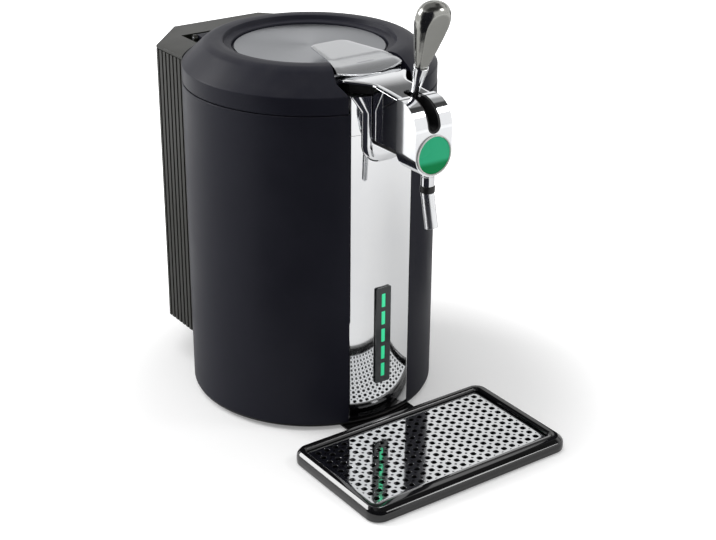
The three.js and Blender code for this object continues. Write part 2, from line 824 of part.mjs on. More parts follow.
function buildLid() {
  const top = lidCrownTop + cutOverrun;
  const tubBack = discRadius;
  const tub = common(
    raised(
      notchPlan(notchFloorThickness, tubBack - notchFloorThickness, reach),
      notchFloor - notchFloorThickness,
      top,
    ),
    lidOuter(),
  );
  const pocket = raised(notchPlan(0, tubBack, reach), notchFloor, top);
  const through = raised(notchPlan(0, notchFullReach, reach), lidBottom - cutOverrun, top);
  const pinHole = latchRod(latchPinRadius + seatGap, latchPinHalf + seatGap);
  const shell = join(cut(lidOuter(), lidHollow()), tub);
  const opened = cut(shell, pocket, through, hookPassage(lidBottom, top), pinHole);
  piece("lid_shell", join(opened, ...lidLugs()), softCharcoal());

  const disc = turned([
    [0, discTop - discThickness],
    [discRadius, discTop - discThickness],
    [discRadius, discTop - discEdge],
    [discRadius - discEdge, discTop],
    [0, discTop],
  ]);
  piece("lid_disc", disc, satinSilver());

  const linerEdge = lidRadius - lidWall - seatGap;
  const plugBottom = lidLinerBottom - lidPlugDepth;
  const liner = turned([
    [0, plugBottom],
    [lidPlugRadius, plugBottom],
    [lidPlugRadius, lidLinerBottom],
    [linerEdge, lidLinerBottom],
    [linerEdge, lidLinerBottom + lidLinerThickness],
    [0, lidLinerBottom + lidLinerThickness],
  ]);
  const linerNotch = raised(notchPlan(seatGap, notchFullReach, reach), plugBottom, top);
  piece("lid_liner", cut(liner, linerNotch), white());

  const sealTop = lidLinerBottom - seatGap;
  piece("lid_seal", ring(sealInnerRadius, sealOuterRadius, deckTop + seatGap, sealTop), rubber());
}

// Latch plate with two pivot ears and a hook that holds the lid under the tap arm
function buildLatch() {
  const topLine = [
    [-plateBackReach + cutOverrun, plateBackTop],
    [-plateBackReach, plateBackTop],
    [-plateMidReach, plateMidTop],
    [-plateBendReach, plateBendTop],
    [-plateFrontRadius, plateFrontTop],
    [-plateFrontRadius - cutOverrun / 4, plateFrontTop - cutOverrun / 4],
  ];
  const lowLine = topLine.map(([y, z]) => [y, z - plateThickness]).reverse();
  const band = sided(outline([...topLine, ...lowLine]), -notchMidHalfWidth, notchMidHalfWidth);
  const plan = new THREE.Shape();
  const frontY = -depthAt(plateFrontRadius, plateFrontHalfWidth);
  const spread = Math.asin(plateFrontHalfWidth / plateFrontRadius);
  plan.moveTo(-plateFrontHalfWidth, frontY);
  plan.absarc(0, 0, plateFrontRadius, -Math.PI / 2 - spread, -Math.PI / 2 + spread);
  plan.lineTo(plateBackHalfWidth + plateCornerRadius / 4, -plateBackReach - plateCornerRadius);
  plan.lineTo(plateBackHalfWidth - plateCornerRadius / 2, -plateBackReach);
  plan.lineTo(-plateBackHalfWidth + plateCornerRadius / 2, -plateBackReach);
  plan.lineTo(-plateBackHalfWidth - plateCornerRadius / 4, -plateBackReach - plateCornerRadius);
  const plate = common(band, raised(plan, lidBottom, plateBackTop + cutOverrun));

  const between = (plateBendReach - latchPinReach) / (plateBendReach - plateMidReach);
  const postTop = plateBendTop + between * (plateMidTop - plateBendTop) - plateThickness / 2;
  const ears = [-1, 1].map((side) => {
    const low = side * latchEarOffset - latchEarWidth / 2;
    const high = low + latchEarWidth;
    const round = rod(
      latchEarRadius,
      [low, -latchPinReach, latchPinHeight],
      [high, -latchPinReach, latchPinHeight],
    );
    const post = block(
      [low, high],
      [-latchPinReach, -latchPinReach + latchEarRadius],
      [latchPinHeight, postTop],
    );
    return join(round, post);
  });
  const bore = latchRod(latchPinRadius + seatGap, latchPinHalf);
  const stemBack = -latchPinReach + latchEarRadius;
  const hook = sided(
    outline([
      [stemBack, postTop],
      [stemBack, hookBottom],
      [-hookNoseReach, hookBottom],
      [-hookNoseReach, hookNoseTop],
      [stemBack - hookThickness, hookNoseTop],
      [stemBack - hookThickness, latchPinHeight - latchEarRadius],
      [-latchPinReach - latchEarRadius, latchPinHeight - latchEarRadius],
      [-latchPinReach - latchEarRadius, latchPinHeight + latchEarRadius / 2],
      [-latchPinReach, postTop],
    ]),
    -hookHalfWidth,
    hookHalfWidth,
  );
  piece("latch_plate", cut(join(plate, ...ears, hook), bore), satinSilver());
  piece("latch_pin", latchRod(latchPinRadius, latchPinHalf), aluminium());
}

// Corners of the rear unit in plan, from the left front to the right front
const rearCorners = (inset, front) => [
  [-rearHalfWidth + inset, front],
  [-rearHalfWidth + inset, rearShoulderReach - inset * Math.tan(Math.PI / 8)],
  [-rearBackHalfWidth + inset * Math.tan(Math.PI / 8), rearBackReach - inset],
  [rearBackHalfWidth - inset * Math.tan(Math.PI / 8), rearBackReach - inset],
  [rearHalfWidth - inset, rearShoulderReach - inset * Math.tan(Math.PI / 8)],
  [rearHalfWidth - inset, front],
];

// The same corners with a groove at every rib pitch of each wall, behind the casing's curve
function groovedCorners(front) {
  const corners = rearCorners(0, depthAt(casingRadius + seatGap, rearHalfWidth - rearWall));
  const points = [[-rearHalfWidth, front]];
  for (let i = 0; i + 1 < corners.length; i++) {
    const start = new THREE.Vector2(...corners[i]);
    const end = new THREE.Vector2(...corners[i + 1]);
    const along = end.clone().sub(start).normalize();
    const inward = new THREE.Vector2(along.y, -along.x).multiplyScalar(grooveDepth);
    const length = start.distanceTo(end);
    const count = Math.floor(length / ribPitch);
    const margin = (length - (count - 1) * ribPitch) / 2;
    points.push(corners[i]);
    for (let j = 0; j < count; j++) {
      const middle = margin + j * ribPitch;
      const near = start.clone().addScaledVector(along, middle - grooveWidth / 2);
      const far = start.clone().addScaledVector(along, middle + grooveWidth / 2);
      const deepNear = near.clone().add(inward);
      const deepFar = far.clone().add(inward);
      points.push(...[near, deepNear, deepFar, far].map((p) => p.toArray()));
    }
  }
  points.push(corners.at(-1), [rearHalfWidth, front]);
  return points;
}

function rearVents() {
  const count = 2 * Math.floor(ventHalfWidth / ribPitch);
  const half = grooveWidth / 2;
  return Array.from({ length: count }, (_, i) => {
    const x = (i - (count - 1) / 2) * ribPitch;
    const along = [rearInnerBack - cutOverrun, rearBackReach + cutOverrun];
    return block([x - half, x + half], along, [ventBottom, ventTop]);
  });
}

function buildRearCover() {
  const front = casingRadius / 3;
  const top = rearTop - rearTopThickness - seatGap;
  const outer = raised(outline(groovedCorners(front)), rearBottom, top);
  const inner = raised(outline(rearCorners(rearWall, 0)), rearBottom + rearWall, top + cutOverrun);
  const bore = drum(casingRadius + seatGap, rearBottom - cutOverrun, top + cutOverrun);
  const y = [rearInnerBack - cutOverrun, rearBackReach + cutOverrun];
  const inletHole = rod(
    inletRadius + seatGap,
    [inletOffset, y[0], inletHeight],
    [inletOffset, y[1], inletHeight],
  );
  const buttonHole = rod(
    buttonRadius + slideGap,
    [buttonOffset, y[0], buttonHeight],
    [buttonOffset, y[1], buttonHeight],
  );
  const shell = cut(outer, inner, bore, inletHole, buttonHole, ...rearVents());
  piece("rear_cover", shell, oliveBlack());
}

function hingeEars() {
  const ears = [];
  for (const side of [-1, 1]) {
    for (const half of [-1, 1]) {
      const near = side * hingeLugOffset + half * (hingeLugWidth / 2 + slideGap);
      const far = near + half * hingeEarWidth;
      const across = [Math.min(near, far), Math.max(near, far)];
      const round = rod(
        hingeLugRadius,
        [across[0], hingeReach, hingeHeight],
        [across[1], hingeReach, hingeHeight],
      );
      const post = block(
        across,
        [hingeReach - hingeLugRadius, hingeReach + hingeLugRadius],
        [recessFloor - seatGap, hingeHeight],
      );
      ears.push(join(round, post));
    }
  }
  return ears;
}

function buildRearTop() {
  const plateBottom = rearTop - rearTopThickness;
  const plate = raised(outline(rearCorners(0, casingRadius / 3)), plateBottom, rearTop);
  const tubHalf = recessHalfWidth + recessWall;
  const tub = block(
    [-tubHalf, tubHalf],
    [0, recessReach + recessWall],
    [recessFloor - recessWall, plateBottom],
  );
  const recess = block(
    [-recessHalfWidth, recessHalfWidth],
    [0, recessReach],
    [recessFloor, rearTop + cutOverrun],
  );
  const clear = drum(casingRadius + seatGap, recessFloor - cutOverrun, rearTop + cutOverrun);
  const span = hingeLugOffset + hingeLugWidth / 2 + slideGap + hingeEarWidth;
  const bore = rod(
    hingePinRadius + seatGap,
    [-span - cutOverrun, hingeReach, hingeHeight],
    [span + cutOverrun, hingeReach, hingeHeight],
  );
  const cover = join(cut(join(plate, tub), recess), ...hingeEars());
  piece("rear_top_cover", cut(cover, clear, bore), oliveBlack());
  [-1, 1].forEach((side) => {
    const middle = side * hingeLugOffset;
    const half = hingeLugWidth / 2 + slideGap + hingeEarWidth;
    const ends = [middle - half, middle + half].map((x) => [x, hingeReach, hingeHeight]);
    piece(`hinge_pin_${side < 0 ? "left" : "right"}`, rod(hingePinRadius, ...ends), aluminium());
  });
}

// Cooling train from the liner to the fan
function buildCooling() {
  const half = coldBlockHeight / 2;
  const blockBody = block(
    [-coldBlockHalfWidth, coldBlockHalfWidth],
    [linerInnerRadius - cutOverrun - cutOverrun, coldBlockBack],
    [coldCentre - half, coldCentre + half],
  );
  const bay = drum(linerOuterRadius + seatGap, windowBottom, windowTop);
  piece("cold_block", cut(blockBody, bay), aluminium());

  const side = peltierSide / 2;
  const moduleFront = coldBlockBack + seatGap;
  const plate = block(
    [-side, side],
    [moduleFront, moduleFront + peltierThickness],
    [coldCentre - side, coldCentre + side],
  );
  piece("thermoelectric_module", plate, white());

  const finRoot = sinkFront + sinkBaseThickness;
  const pitch = (2 * sinkHalfWidth - sinkFinThickness) / (sinkFinCount - 1);
  const comb = [[sinkHalfWidth, sinkFront], [-sinkHalfWidth, sinkFront]].reverse();
  const teeth = [];
  for (let i = sinkFinCount - 1; i >= 0; i--) {
    const left = -sinkHalfWidth + i * pitch;
    const right = left + sinkFinThickness;
    teeth.push([right, finRoot], [right, sinkBack], [left, sinkBack], [left, finRoot]);
  }
  const sinkHalf = sinkHeight / 2;
  const sink = raised(outline([...comb, ...teeth]), coldCentre - sinkHalf, coldCentre + sinkHalf);
  piece("heat_sink", sink, aluminium());
}

// Axial fan behind the heat sink, turning about Y
function buildFan() {
  const side = fanSide / 2;
  const across = (z) => [0, z, coldCentre];
  const frameBody = block([-side, side], [fanFront, fanBack], [coldCentre - side, coldCentre + side]);
  const boreEnds = [across(fanFront - cutOverrun), across(fanBack + cutOverrun)];
  const bore = rod(fanBoreRadius, ...boreEnds, middleSides);
  const armFront = fanBack - fanArmThickness;
  const motor = rod(fanMotorRadius, across(armFront), across(fanBack), smallSides);
  const armHalf = fanArmWidth / 2;
  const long = side - seatGap;
  const depth = [armFront, fanBack];
  const arms = [
    block([-long, long], depth, [coldCentre - armHalf, coldCentre + armHalf]),
    block([-armHalf, armHalf], depth, [coldCentre - long, coldCentre + long]),
  ];
  const shaftStart = fanFront + fanThickness / 2;
  const shaft = rod(fanShaftRadius, across(shaftStart), across(armFront + seatGap), smallSides);
  piece("fan_frame", join(cut(frameBody, bore), ...arms, motor, shaft), mattBlack());

  const hubFront = fanFront + slideGap;
  const hubBack = armFront - slideGap;
  const hub = rod(fanHubRadius, across(hubFront), across(hubBack), smallSides);
  const middle = (hubFront + hubBack) / 2;
  const blades = Array.from({ length: fanBladeCount }, (_, i) => {
    const blade = new THREE.BoxGeometry(
      fanBladeWidth,
      fanBladeThickness,
      fanBladeReach - fanHubRadius / 2,
    );
    blade.rotateZ(fanBladePitch);
    blade.translate(0, 0, (fanBladeReach + fanHubRadius / 2) / 2);
    blade.rotateY((i * 2 * Math.PI) / fanBladeCount);
    return solid(blade.translate(0, middle, coldCentre));
  });
  const shaftEnds = [across(shaftStart - seatGap), across(hubBack + cutOverrun)];
  const shaftBore = rod(fanShaftRadius + seatGap, ...shaftEnds, smallSides);
  piece("fan_impeller", cut(join(hub, ...blades), shaftBore), mattBlack());
}

function buildPower() {
  const supply = block(
    [-supplyHalfWidth, supplyHalfWidth],
    [supplyFront, rearInnerBack - seatGap],
    [supplyBottom, supplyTop],
  );
  piece("power_supply", supply, mattBlack());

  const inletBack = rearBackReach - inletDepth;
  const at = (y) => [inletOffset, y, inletHeight];
  const body = rod(inletRadius, at(inletBack), at(rearBackReach));
  const boreFloor = rearBackReach - inletBoreDepth;
  const bore = rod(inletBoreRadius, at(boreFloor), at(rearBackReach + cutOverrun));
  const pinTip = rearBackReach - inletBoreDepth / 4;
  const pin = rod(inletPinRadius, at(inletBack + seatGap), at(pinTip), arcSteps);
  piece("power_inlet", join(cut(body, bore), pin), mattBlack());

  const buttonFace = rearBackReach - seatGap;
  const headBackY = buttonFace - buttonHeadDepth;
  const on = (y) => [buttonOffset, y, buttonHeight];
  const button = join(
    rod(buttonRadius, on(headBackY), on(buttonFace)),
    rod(buttonStemRadius, on(headBackY - buttonStemLength), on(headBackY + seatGap)),
  );
  piece("power_button", button, glossBlack());

  const half = switchSide / 2;
  const switchBack = headBackY - buttonTravelRoom;
  const box = block(
    [buttonOffset - half, buttonOffset + half],
    [switchBack - switchDepth, switchBack],
    [buttonHeight - half, buttonHeight + half],
  );
  const well = rod(
    buttonStemRadius + slideGap,
    on(headBackY - buttonStemLength - buttonTravelRoom - cutOverrun),
    on(switchBack + cutOverrun),
  );
  const floor = block(
    [buttonOffset - half, buttonOffset + half],
    [switchBack, rearInnerBack - seatGap],
    [buttonHeight - half, buttonHeight - buttonRadius - slideGap],
  );
  piece("switch_body", join(cut(box, well), floor), mattBlack());
}

// Collar on the panel, with its bracket and screws
function buildTapMount() {
  const shape = new THREE.Shape();
  const low = collarBottom + collarCornerRadius;
  const inner = collarHalfWidth - collarCornerRadius;
  shape.moveTo(-inner, collarBottom);
  shape.absarc(inner, low, collarCornerRadius, -Math.PI / 2, 0);
  shape.lineTo(collarHalfWidth, collarStraightTop);
  shape.lineTo(collarTopHalfWidth, collarTop);
  shape.lineTo(-collarTopHalfWidth, collarTop);
  shape.lineTo(-collarHalfWidth, collarStraightTop);
  shape.absarc(-inner, low, collarCornerRadius, Math.PI, 1.5 * Math.PI);
  const slab = fronted(shape, -reach, 0);
  const skin = ring(
    casingRadius + seatGap,
    collarRadius,
    collarBottom - cutOverrun,
    collarTop + cutOverrun,
    2 * bigSides,
  );
  piece("tap_collar", cut(common(slab, skin), ...screwHoles()), chrome());

  const outer = panelInnerRadius - seatGap;
  const band = ring(outer - bracketThickness, outer, bracketBottom, deckTop - deckThickness - seatGap);
  const front = block([-bracketHalfWidth, bracketHalfWidth], [-reach, 0], [bracketBottom, deckTop]);
  piece("tap_bracket", cut(common(band, front), ...screwHoles()), aluminium());

  const headTopY = -(outer - bracketThickness) + seatGap;
  [["lower", lowerScrewHeight], ["upper", upperScrewHeight]].forEach(([name, z]) => {
    const screw = join(
      rod(screwHeadRadius, [0, headTopY, z], [0, headTopY + screwHeadHeight, z]),
      rod(screwRadius, [0, headTopY - screwLength, z], [0, headTopY + seatGap, z]),
    );
    piece(`tap_screw_${name}`, screw, aluminium());
  });
}

// Height of the arm's sloping top at a distance in front of the axis
const armTopAt = (distance) => {
  const slope = (armRearTop - armFrontTop) / (headFront - armCoverFlareReach);
  return armRearTop - slope * Math.max(0, distance - armCoverFlareReach);
};

function buildArm() {
  const front = headBack - seatGap;
  const below = armCoverThickness + seatGap;
  const profile = outline([
    [-armRearReach, armTongueBottom],
    [-collarRadius + collarThickness, armTongueBottom],
    [-collarRadius + collarThickness, armBottom],
    [-front, armBottom],
    [-front, armTopAt(front) - below],
    [-armCoverFlareReach, armRearTop - below],
    [-armRearReach, armRearTop - below],
  ]);
  const behind = drum(collarRadius + seatGap, armBottom - cutOverrun, armTongueBottom, 2 * bigSides);
  const channel = sided(
    outline([
      [-armRearReach + cutOverrun, channelRearFloor],
      [-channelBendReach, channelRearFloor],
      [-channelFootReach, channelFrontFloor],
      [-front - cutOverrun, channelFrontFloor],
      [-front - cutOverrun, armRearTop + cutOverrun],
      [-armRearReach + cutOverrun, armRearTop + cutOverrun],
    ]),
    -channelHalfWidth,
    channelHalfWidth,
  );
  const tongue = outline(
    mirrored([
      [armHalfWidth, -front - cutOverrun],
      [armHalfWidth, -armCoverFlareReach],
      [armTongueHalfWidth, -armRearReach - cutOverrun],
      [armTongueHalfWidth, 0],
    ]),
  );
  const limits = raised(tongue, armBottom - cutOverrun, armRearTop + cutOverrun);
  const bodySolid = common(sided(profile, -armTongueHalfWidth, armTongueHalfWidth), limits);
  const pin = (radius, half) =>
    rod(
      radius,
      [-half, -leverPivotReach, leverPivotHeight],
      [half, -leverPivotReach, leverPivotHeight],
    );
  const pinBore = pin(leverPinRadius + seatGap, armHalfWidth + cutOverrun);
  piece("tap_arm_body", cut(bodySolid, behind, channel, pinBore, ...screwHoles()), mattBlack());
  piece("lever_pin", pin(leverPinRadius, leverPinHalfLength), aluminium());

  const coverTop = [
    [-armCoverRearReach + cutOverrun, armRearTop],
    [-armCoverFlareReach, armRearTop],
    [-front, armTopAt(front)],
  ];
  const coverLow = coverTop.map(([y, z]) => [y, z - armCoverThickness]).reverse();
  const band = sided(
    outline([...coverTop, ...coverLow]),
    -armCoverRearHalfWidth,
    armCoverRearHalfWidth,
  );
  const plan = new THREE.Shape();
  const rearY = -depthAt(armCoverRearReach, armCoverRearHalfWidth);
  const spread = Math.asin(armCoverRearHalfWidth / armCoverRearReach);
  plan.moveTo(armCoverRearHalfWidth, rearY);
  plan.absarc(0, 0, armCoverRearReach, -Math.PI / 2 + spread, -Math.PI / 2 - spread, true);
  const flareStart = -armCoverFlareReach + cutOverrun;
  const flareEnd = -armCoverFlareReach - cutOverrun;
  plan.quadraticCurveTo(-armCoverHalfWidth, flareStart, -armCoverHalfWidth, flareEnd);
  plan.lineTo(-armCoverHalfWidth, -front);
  plan.lineTo(armCoverHalfWidth, -front);
  plan.lineTo(armCoverHalfWidth, flareEnd);
  plan.quadraticCurveTo(armCoverHalfWidth, flareStart, armCoverRearHalfWidth, rearY);
  const slotPlan = new THREE.Shape();
  const slotMiddle = -slotBackReach - slotHalfWidth;
  slotPlan.moveTo(-slotHalfWidth, -headFront);
  slotPlan.lineTo(slotHalfWidth, -headFront);
  slotPlan.absarc(0, slotMiddle, slotHalfWidth, 0, Math.PI);
  const slot = raised(slotPlan, armBottom, armRearTop + cutOverrun);
  const cover = common(band, raised(plan, armBottom, armRearTop + cutOverrun));
  piece("tap_arm_cover", cut(cover, slot), chrome());

  const sideTop = armCoverThickness + 2 * seatGap;
  const sideShape = outline([
    [-collarRadius - seatGap, armSideBottom],
    [-front, armSideBottom],
    [-front, armTopAt(front) - sideTop],
    [-armCoverFlareReach - collarThickness, armRearTop - sideTop - seatGap],
    [-collarRadius - seatGap, armTongueBottom],
  ]);
  const near = armHalfWidth + seatGap;
  const far = near + armSideThickness;
  piece("tap_arm_side_left", sided(sideShape, -far, -near), chrome());
  piece("tap_arm_side_right", sided(sideShape, near, far), chrome());
}

// Side outline of the head, drawn in by an inset
function headSide(inset) {
  const profile = new THREE.Shape();
  const low = badgeHeight - headHalfWidth - cutOverrun;
  const top = armTopAt(headBack) - inset;
  const centre = headNoseRadius - headFront;
  profile.moveTo(-headBack, low);
  profile.lineTo(-headBack, top);
  profile.lineTo(centre, top);
  profile.absarc(centre, top + inset - headNoseRadius, headNoseRadius - inset, Math.PI / 2, Math.PI);
  profile.lineTo(-headFront + inset, low);
  return profile;
}

// Room of the lever's slot between two distances in front of the axis, drawn in by an inset
function leverSlot(inset, front, back) {
  const half = slotHalfWidth - inset;
  const low = slotBottom + slotHalfWidth;
  const face = new THREE.Shape();
  face.moveTo(-half, headTop + cutOverrun);
  face.lineTo(-half, low);
  face.absarc(0, low, half, Math.PI, 2 * Math.PI);
  face.lineTo(half, headTop + cutOverrun);
  return fronted(face, -front, -back);
}

function buildHead() {
  const face = new THREE.Shape();
  face.moveTo(-headHalfWidth, headTop + cutOverrun);
  face.lineTo(-headHalfWidth, badgeHeight);
  face.absarc(0, badgeHeight, headHalfWidth, Math.PI, 2 * Math.PI);
  face.lineTo(headHalfWidth, headTop + cutOverrun);
  const body = fronted(face, -headFront - cutOverrun, -headBack);
  const nose = sided(headSide(0), -headHalfWidth - cutOverrun, headHalfWidth + cutOverrun);
  const slot = leverSlot(0, headFront + cutOverrun, headBack - cutOverrun);
  const cavity = block(
    [-channelHalfWidth, channelHalfWidth],
    [-cavityFront, cutOverrun - headBack],
    [cavityBottom, cavityTop],
  );
  const socket = rod(
    stubRadius + seatGap,
    [0, -spoutReach, stubBottom],
    [0, -spoutReach, stubTop + seatGap],
    middleSides,
  );
  const drain = rod(
    spoutBoreRadius,
    [0, -spoutReach, stubTop - cutOverrun],
    [0, -spoutReach, cavityBottom + seatGap],
  );
  piece("tap_head", cut(common(body, nose), slot, cavity, socket, drain), chrome());
}

// Black lining of the lever slot in the head
function buildGuide() {
  const outer = slotHalfWidth - seatGap;
  const back = headBack + seatGap;
  const shape = sided(headSide(2 * seatGap), -outer, outer);
  const shell = common(leverSlot(seatGap, headFront + cutOverrun, back), shape);
  const room = leverSlot(seatGap + guideWall, headFront + 2 * cutOverrun, back - cutOverrun);
  piece("lever_guide", cut(shell, room), mattBlack());
}

function buildBadge() {
  const face = -headFront - seatGap;
  const at = (y) => [0, y, badgeHeight];
  const outer = rod(badgeRingRadius, at(face - badgeRingThickness), at(face), middleSides);
  const innerEnds = [at(face - badgeRingThickness - cutOverrun), at(face + cutOverrun)];
  const inner = rod(badgeRadius + seatGap, ...innerEnds, middleSides);
  piece("badge_ring", cut(outer, inner), white());
  piece("badge_disc", rod(badgeRadius, at(face - badgeThickness), at(face), middleSides), badgeGreen());
}

function buildSpout() {
  const down = (r, z0, z1) => rod(r, [0, -spoutReach, z0], [0, -spoutReach, z1], middleSides);
  const bore = down(spoutBoreRadius, stubBottom - cutOverrun, stubTop + cutOverrun);
  const profile = turned(
    [
      [0, stubBottom],
      [stubNeckRadius, stubBottom],
      [stubNeckRadius, stubNeckTop],
      [stubRadius, stubNeckTop + stubRadius - stubNeckRadius],
      [stubRadius, stubTop],
      [0, stubTop],
    ],
    middleSides,
  );
  piece("spout_stub", cut(profile.translate([0, -spoutReach, 0]), bore), chrome());

  const collar = cut(
    down(collarRingRadius, collarRingBottom, collarRingTop),
    down(spoutBoreRadius, collarRingBottom - cutOverrun, collarRingTop + cutOverrun),
  );
  piece("spout_collar", collar, mattBlack());

  const top = new THREE.Vector3(0, -spoutReach, collarRingBottom);
  const tip = new THREE.Vector3(0, -spoutTipReach, spoutTipHeight);
  const along = tip.clone().sub(top).normalize();
  const start = top.clone().addScaledVector(along, -2 * cutOverrun);
  const far = tip.clone().addScaledVector(along, cutOverrun);
  const tube = rod(spoutTubeRadius, start.toArray(), tip.toArray(), middleSides);
  const above = block(
    [-reach, reach],
    [-headFront - cutOverrun, 0],
    [collarRingBottom - seatGap, collarRingTop + reach],
  );
  const hollow = rod(spoutBoreRadius, start.toArray(), far.toArray(), middleSides);
  piece("spout_tube", cut(tube, above, hollow), chrome());
}

// Lever, built upright about its pivot and then leaned forward
function buildLever() {
  const lever = new THREE.Group();
  lever.position.set(0, -leverPivotReach, leverPivotHeight);
  lever.rotation.x = leverLean;
  dispenser.add(lever);
  const hub = rod(leverHubRadius, [-leverHubHalfWidth, 0, 0], [leverHubHalfWidth, 0, 0]);
  const stalk = turned(
    [
      [0, 0],
      [leverNeckRadius, 0],
      [leverNeckRadius, leverNeckLength],
      [leverConeRadius, leverConeTop],
      [0, leverConeTop],
    ],
    smallSides,
  );
  const bore = rod(leverPinRadius + seatGap, [-leverHubRadius, 0, 0], [leverHubRadius, 0, 0]);
  const stem = cut(join(hub, stalk), bore);
  piece("lever_stem", stem, chrome(), lever);

  const height = gripTop - gripBottom;
  const profile = gripHeightShares.map((share, i) => [
    gripRadius * gripWidthShares[i],
    gripBottom + height * share,
  ]);
  profile[0][0] = gripNeckRadius - seatGap;
  profile[1][0] = gripNeckRadius;
  const lathed = turned([[0, gripBottom], ...profile, [0, gripTop]], middleSides);
  const flattened = lathed.scale([1, gripFlatShare, 1]);
  const facetOutline = outline([
    [-facetLowReach, gripBottom],
    [-facetTopReach, gripTop],
    [-reach, gripTop],
    [-reach, gripBottom],
  ]);
  const facet = sided(facetOutline, -reach, reach);
  piece("lever_grip", cut(flattened, facet), satinSilver(), lever);
}

function buildPinch() {
  const body = block(
    [-pinchHalfWidth, pinchHalfWidth],
    [-leverPivotReach - pinchHalfDepth, -leverPivotReach + pinchHalfDepth / 2],
    [pinchBottom, pinchTop],
  );
  piece("pinch_block", body, white());
}

// Plan of the tray drawn in by an inset
const trayPlan = (inset) =>
  roundedPlan(trayHalfWidth - inset, -trayFront + inset, -trayBack - inset, trayCornerRadius - inset);

// Flat pan with a tongue that slides under the base
function buildPan() {
  const floor = raised(trayPlan(rimFoot + seatGap), 0, trayFloor);
  const tongue = block(
    [-tongueHalfWidth, tongueHalfWidth],
    [-trayBack - rimFoot - tongueRoot, -tongueReach],
    [tongueBottom, tongueTop],
  );
  piece("drip_tray", join(floor, tongue), glossBlack());
}

// Rounded rim on the pan, with a ledge for the grille
function buildRim() {
  const bevel = {
    depth: trayTop - 2 * trayEdgeRadius,
    bevelEnabled: true,
    bevelThickness: trayEdgeRadius,
    bevelSize: trayEdgeRadius,
    bevelSegments: 2,
    curveSegments: arcSteps,
  };
  const core = new THREE.ExtrudeGeometry(trayPlan(trayEdgeRadius), bevel);
  const body = solid(core.translate(0, 0, trayEdgeRadius));
  const seatHalf = grilleHalfWidth + grilleClearance;
  const seatFront = -grilleFront - grilleClearance;
  const seatBack = -grilleBack + grilleClearance;
  const seatHeight = grilleTop - grilleThickness - seatGap;
  const seat = roundedPlan(seatHalf, seatFront, seatBack, grilleCornerRadius);
  const pocket = raised(seat, seatHeight, trayTop + cutOverrun);
  const basin = raised(
    roundedPlan(seatHalf - ledgeWidth, seatFront + ledgeWidth, seatBack - ledgeWidth, grilleCornerRadius),
    -cutOverrun,
    trayTop,
  );
  const panRoom = raised(trayPlan(rimFoot), -cutOverrun, trayFloor + seatGap);
  const tongueRoom = block(
    [-tongueHalfWidth - seatGap, tongueHalfWidth + seatGap],
    [-trayBack - rimFoot - tongueRoot - seatGap, cutOverrun - trayBack],
    [-cutOverrun, tongueTop + seatGap],
  );
  piece("tray_rim", cut(body, pocket, basin, panRoom, tongueRoom), glossBlack());
}

function buildGrille() {
  const shape = roundedPlan(grilleHalfWidth, -grilleFront, -grilleBack, grilleCornerRadius);
  const middle = -(grilleFront + grilleBack) / 2;
  const half = holeSide / 2;
  const bottom = grilleTop - grilleThickness;
  const holes = [];
  for (let row = 0; row < holeRows; row++) {
    for (let column = 0; column < holeColumns; column++) {
      const x = (column - (holeColumns - 1) / 2) * holeColumnPitch;
      const y = middle + (row - (holeRows - 1) / 2) * holeRowPitch;
      holes.push(block([x - half, x + half], [y - half, y + half], [bottom - half, grilleTop + half]));
    }
  }
  piece("drip_grille", cut(raised(shape, bottom, grilleTop), ...holes), satinSilver());
}

buildStand();
buildCasing();
buildPanel();
buildDisplay();
buildKegBay();
buildLid();
buildLatch();
buildRearCover();
buildRearTop();
buildCooling();
buildFan();
buildPower();
buildTapMount();
buildArm();
buildHead();
buildGuide();
buildBadge();
buildSpout();
buildLever();
buildPinch();
buildPan();
buildRim();
buildGrille();

export default dispenser;
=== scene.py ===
# %% [markdown]
# # A counter-top beer dispenser for a five litre keg
#
# The machine is a charcoal cylinder with a hinged lid, a mirror panel down its front, a chrome
# tap arm, a ribbed rear unit and a drip tray. Its solids come packed from the CAD program, and
# this lesson dresses them: each visible piece is worked out again as a fine smooth surface in
# the same place, and every piece gets a finish made of nodes.
#
# The imported model comes first, because every later piece takes its place from it.

# %% The fixed frame
import math

import bmesh
import bpy
import numpy as np
from mathutils import Matrix, Vector


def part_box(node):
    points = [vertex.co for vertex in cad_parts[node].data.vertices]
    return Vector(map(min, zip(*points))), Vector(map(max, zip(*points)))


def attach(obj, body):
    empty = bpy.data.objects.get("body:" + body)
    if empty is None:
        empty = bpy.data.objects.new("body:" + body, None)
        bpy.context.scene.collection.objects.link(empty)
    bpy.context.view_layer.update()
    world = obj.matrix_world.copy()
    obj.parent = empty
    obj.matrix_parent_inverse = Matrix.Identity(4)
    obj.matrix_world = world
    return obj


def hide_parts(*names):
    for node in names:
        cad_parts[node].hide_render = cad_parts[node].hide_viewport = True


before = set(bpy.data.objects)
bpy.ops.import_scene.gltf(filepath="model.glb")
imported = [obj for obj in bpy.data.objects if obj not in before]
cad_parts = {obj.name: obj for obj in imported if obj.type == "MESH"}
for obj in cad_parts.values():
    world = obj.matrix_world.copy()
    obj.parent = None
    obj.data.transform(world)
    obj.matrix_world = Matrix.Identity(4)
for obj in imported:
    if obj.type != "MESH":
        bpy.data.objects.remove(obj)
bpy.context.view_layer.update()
print("nodes:", len(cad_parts))

# %% [markdown]
# Sizes are written in millimetres round the upright axis of the keg bay, as on a drawing of
# the machine: x to the right, y towards the back, z up from the table. One shift and one
# factor then put them in the frame. The shift could be typed in, but the liner of the bay is
# round, so the middle of its box gives it.

# %% From millimetres round the keg to metres in the frame
MILLIMETRE = 0.001
bay_low, bay_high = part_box("keg_liner")
KEG_AXIS = np.array([0.0, (bay_low.y + bay_high.y) / 2, 0.0])
print("the keg's axis stands at y =", round(KEG_AXIS[1], 4))


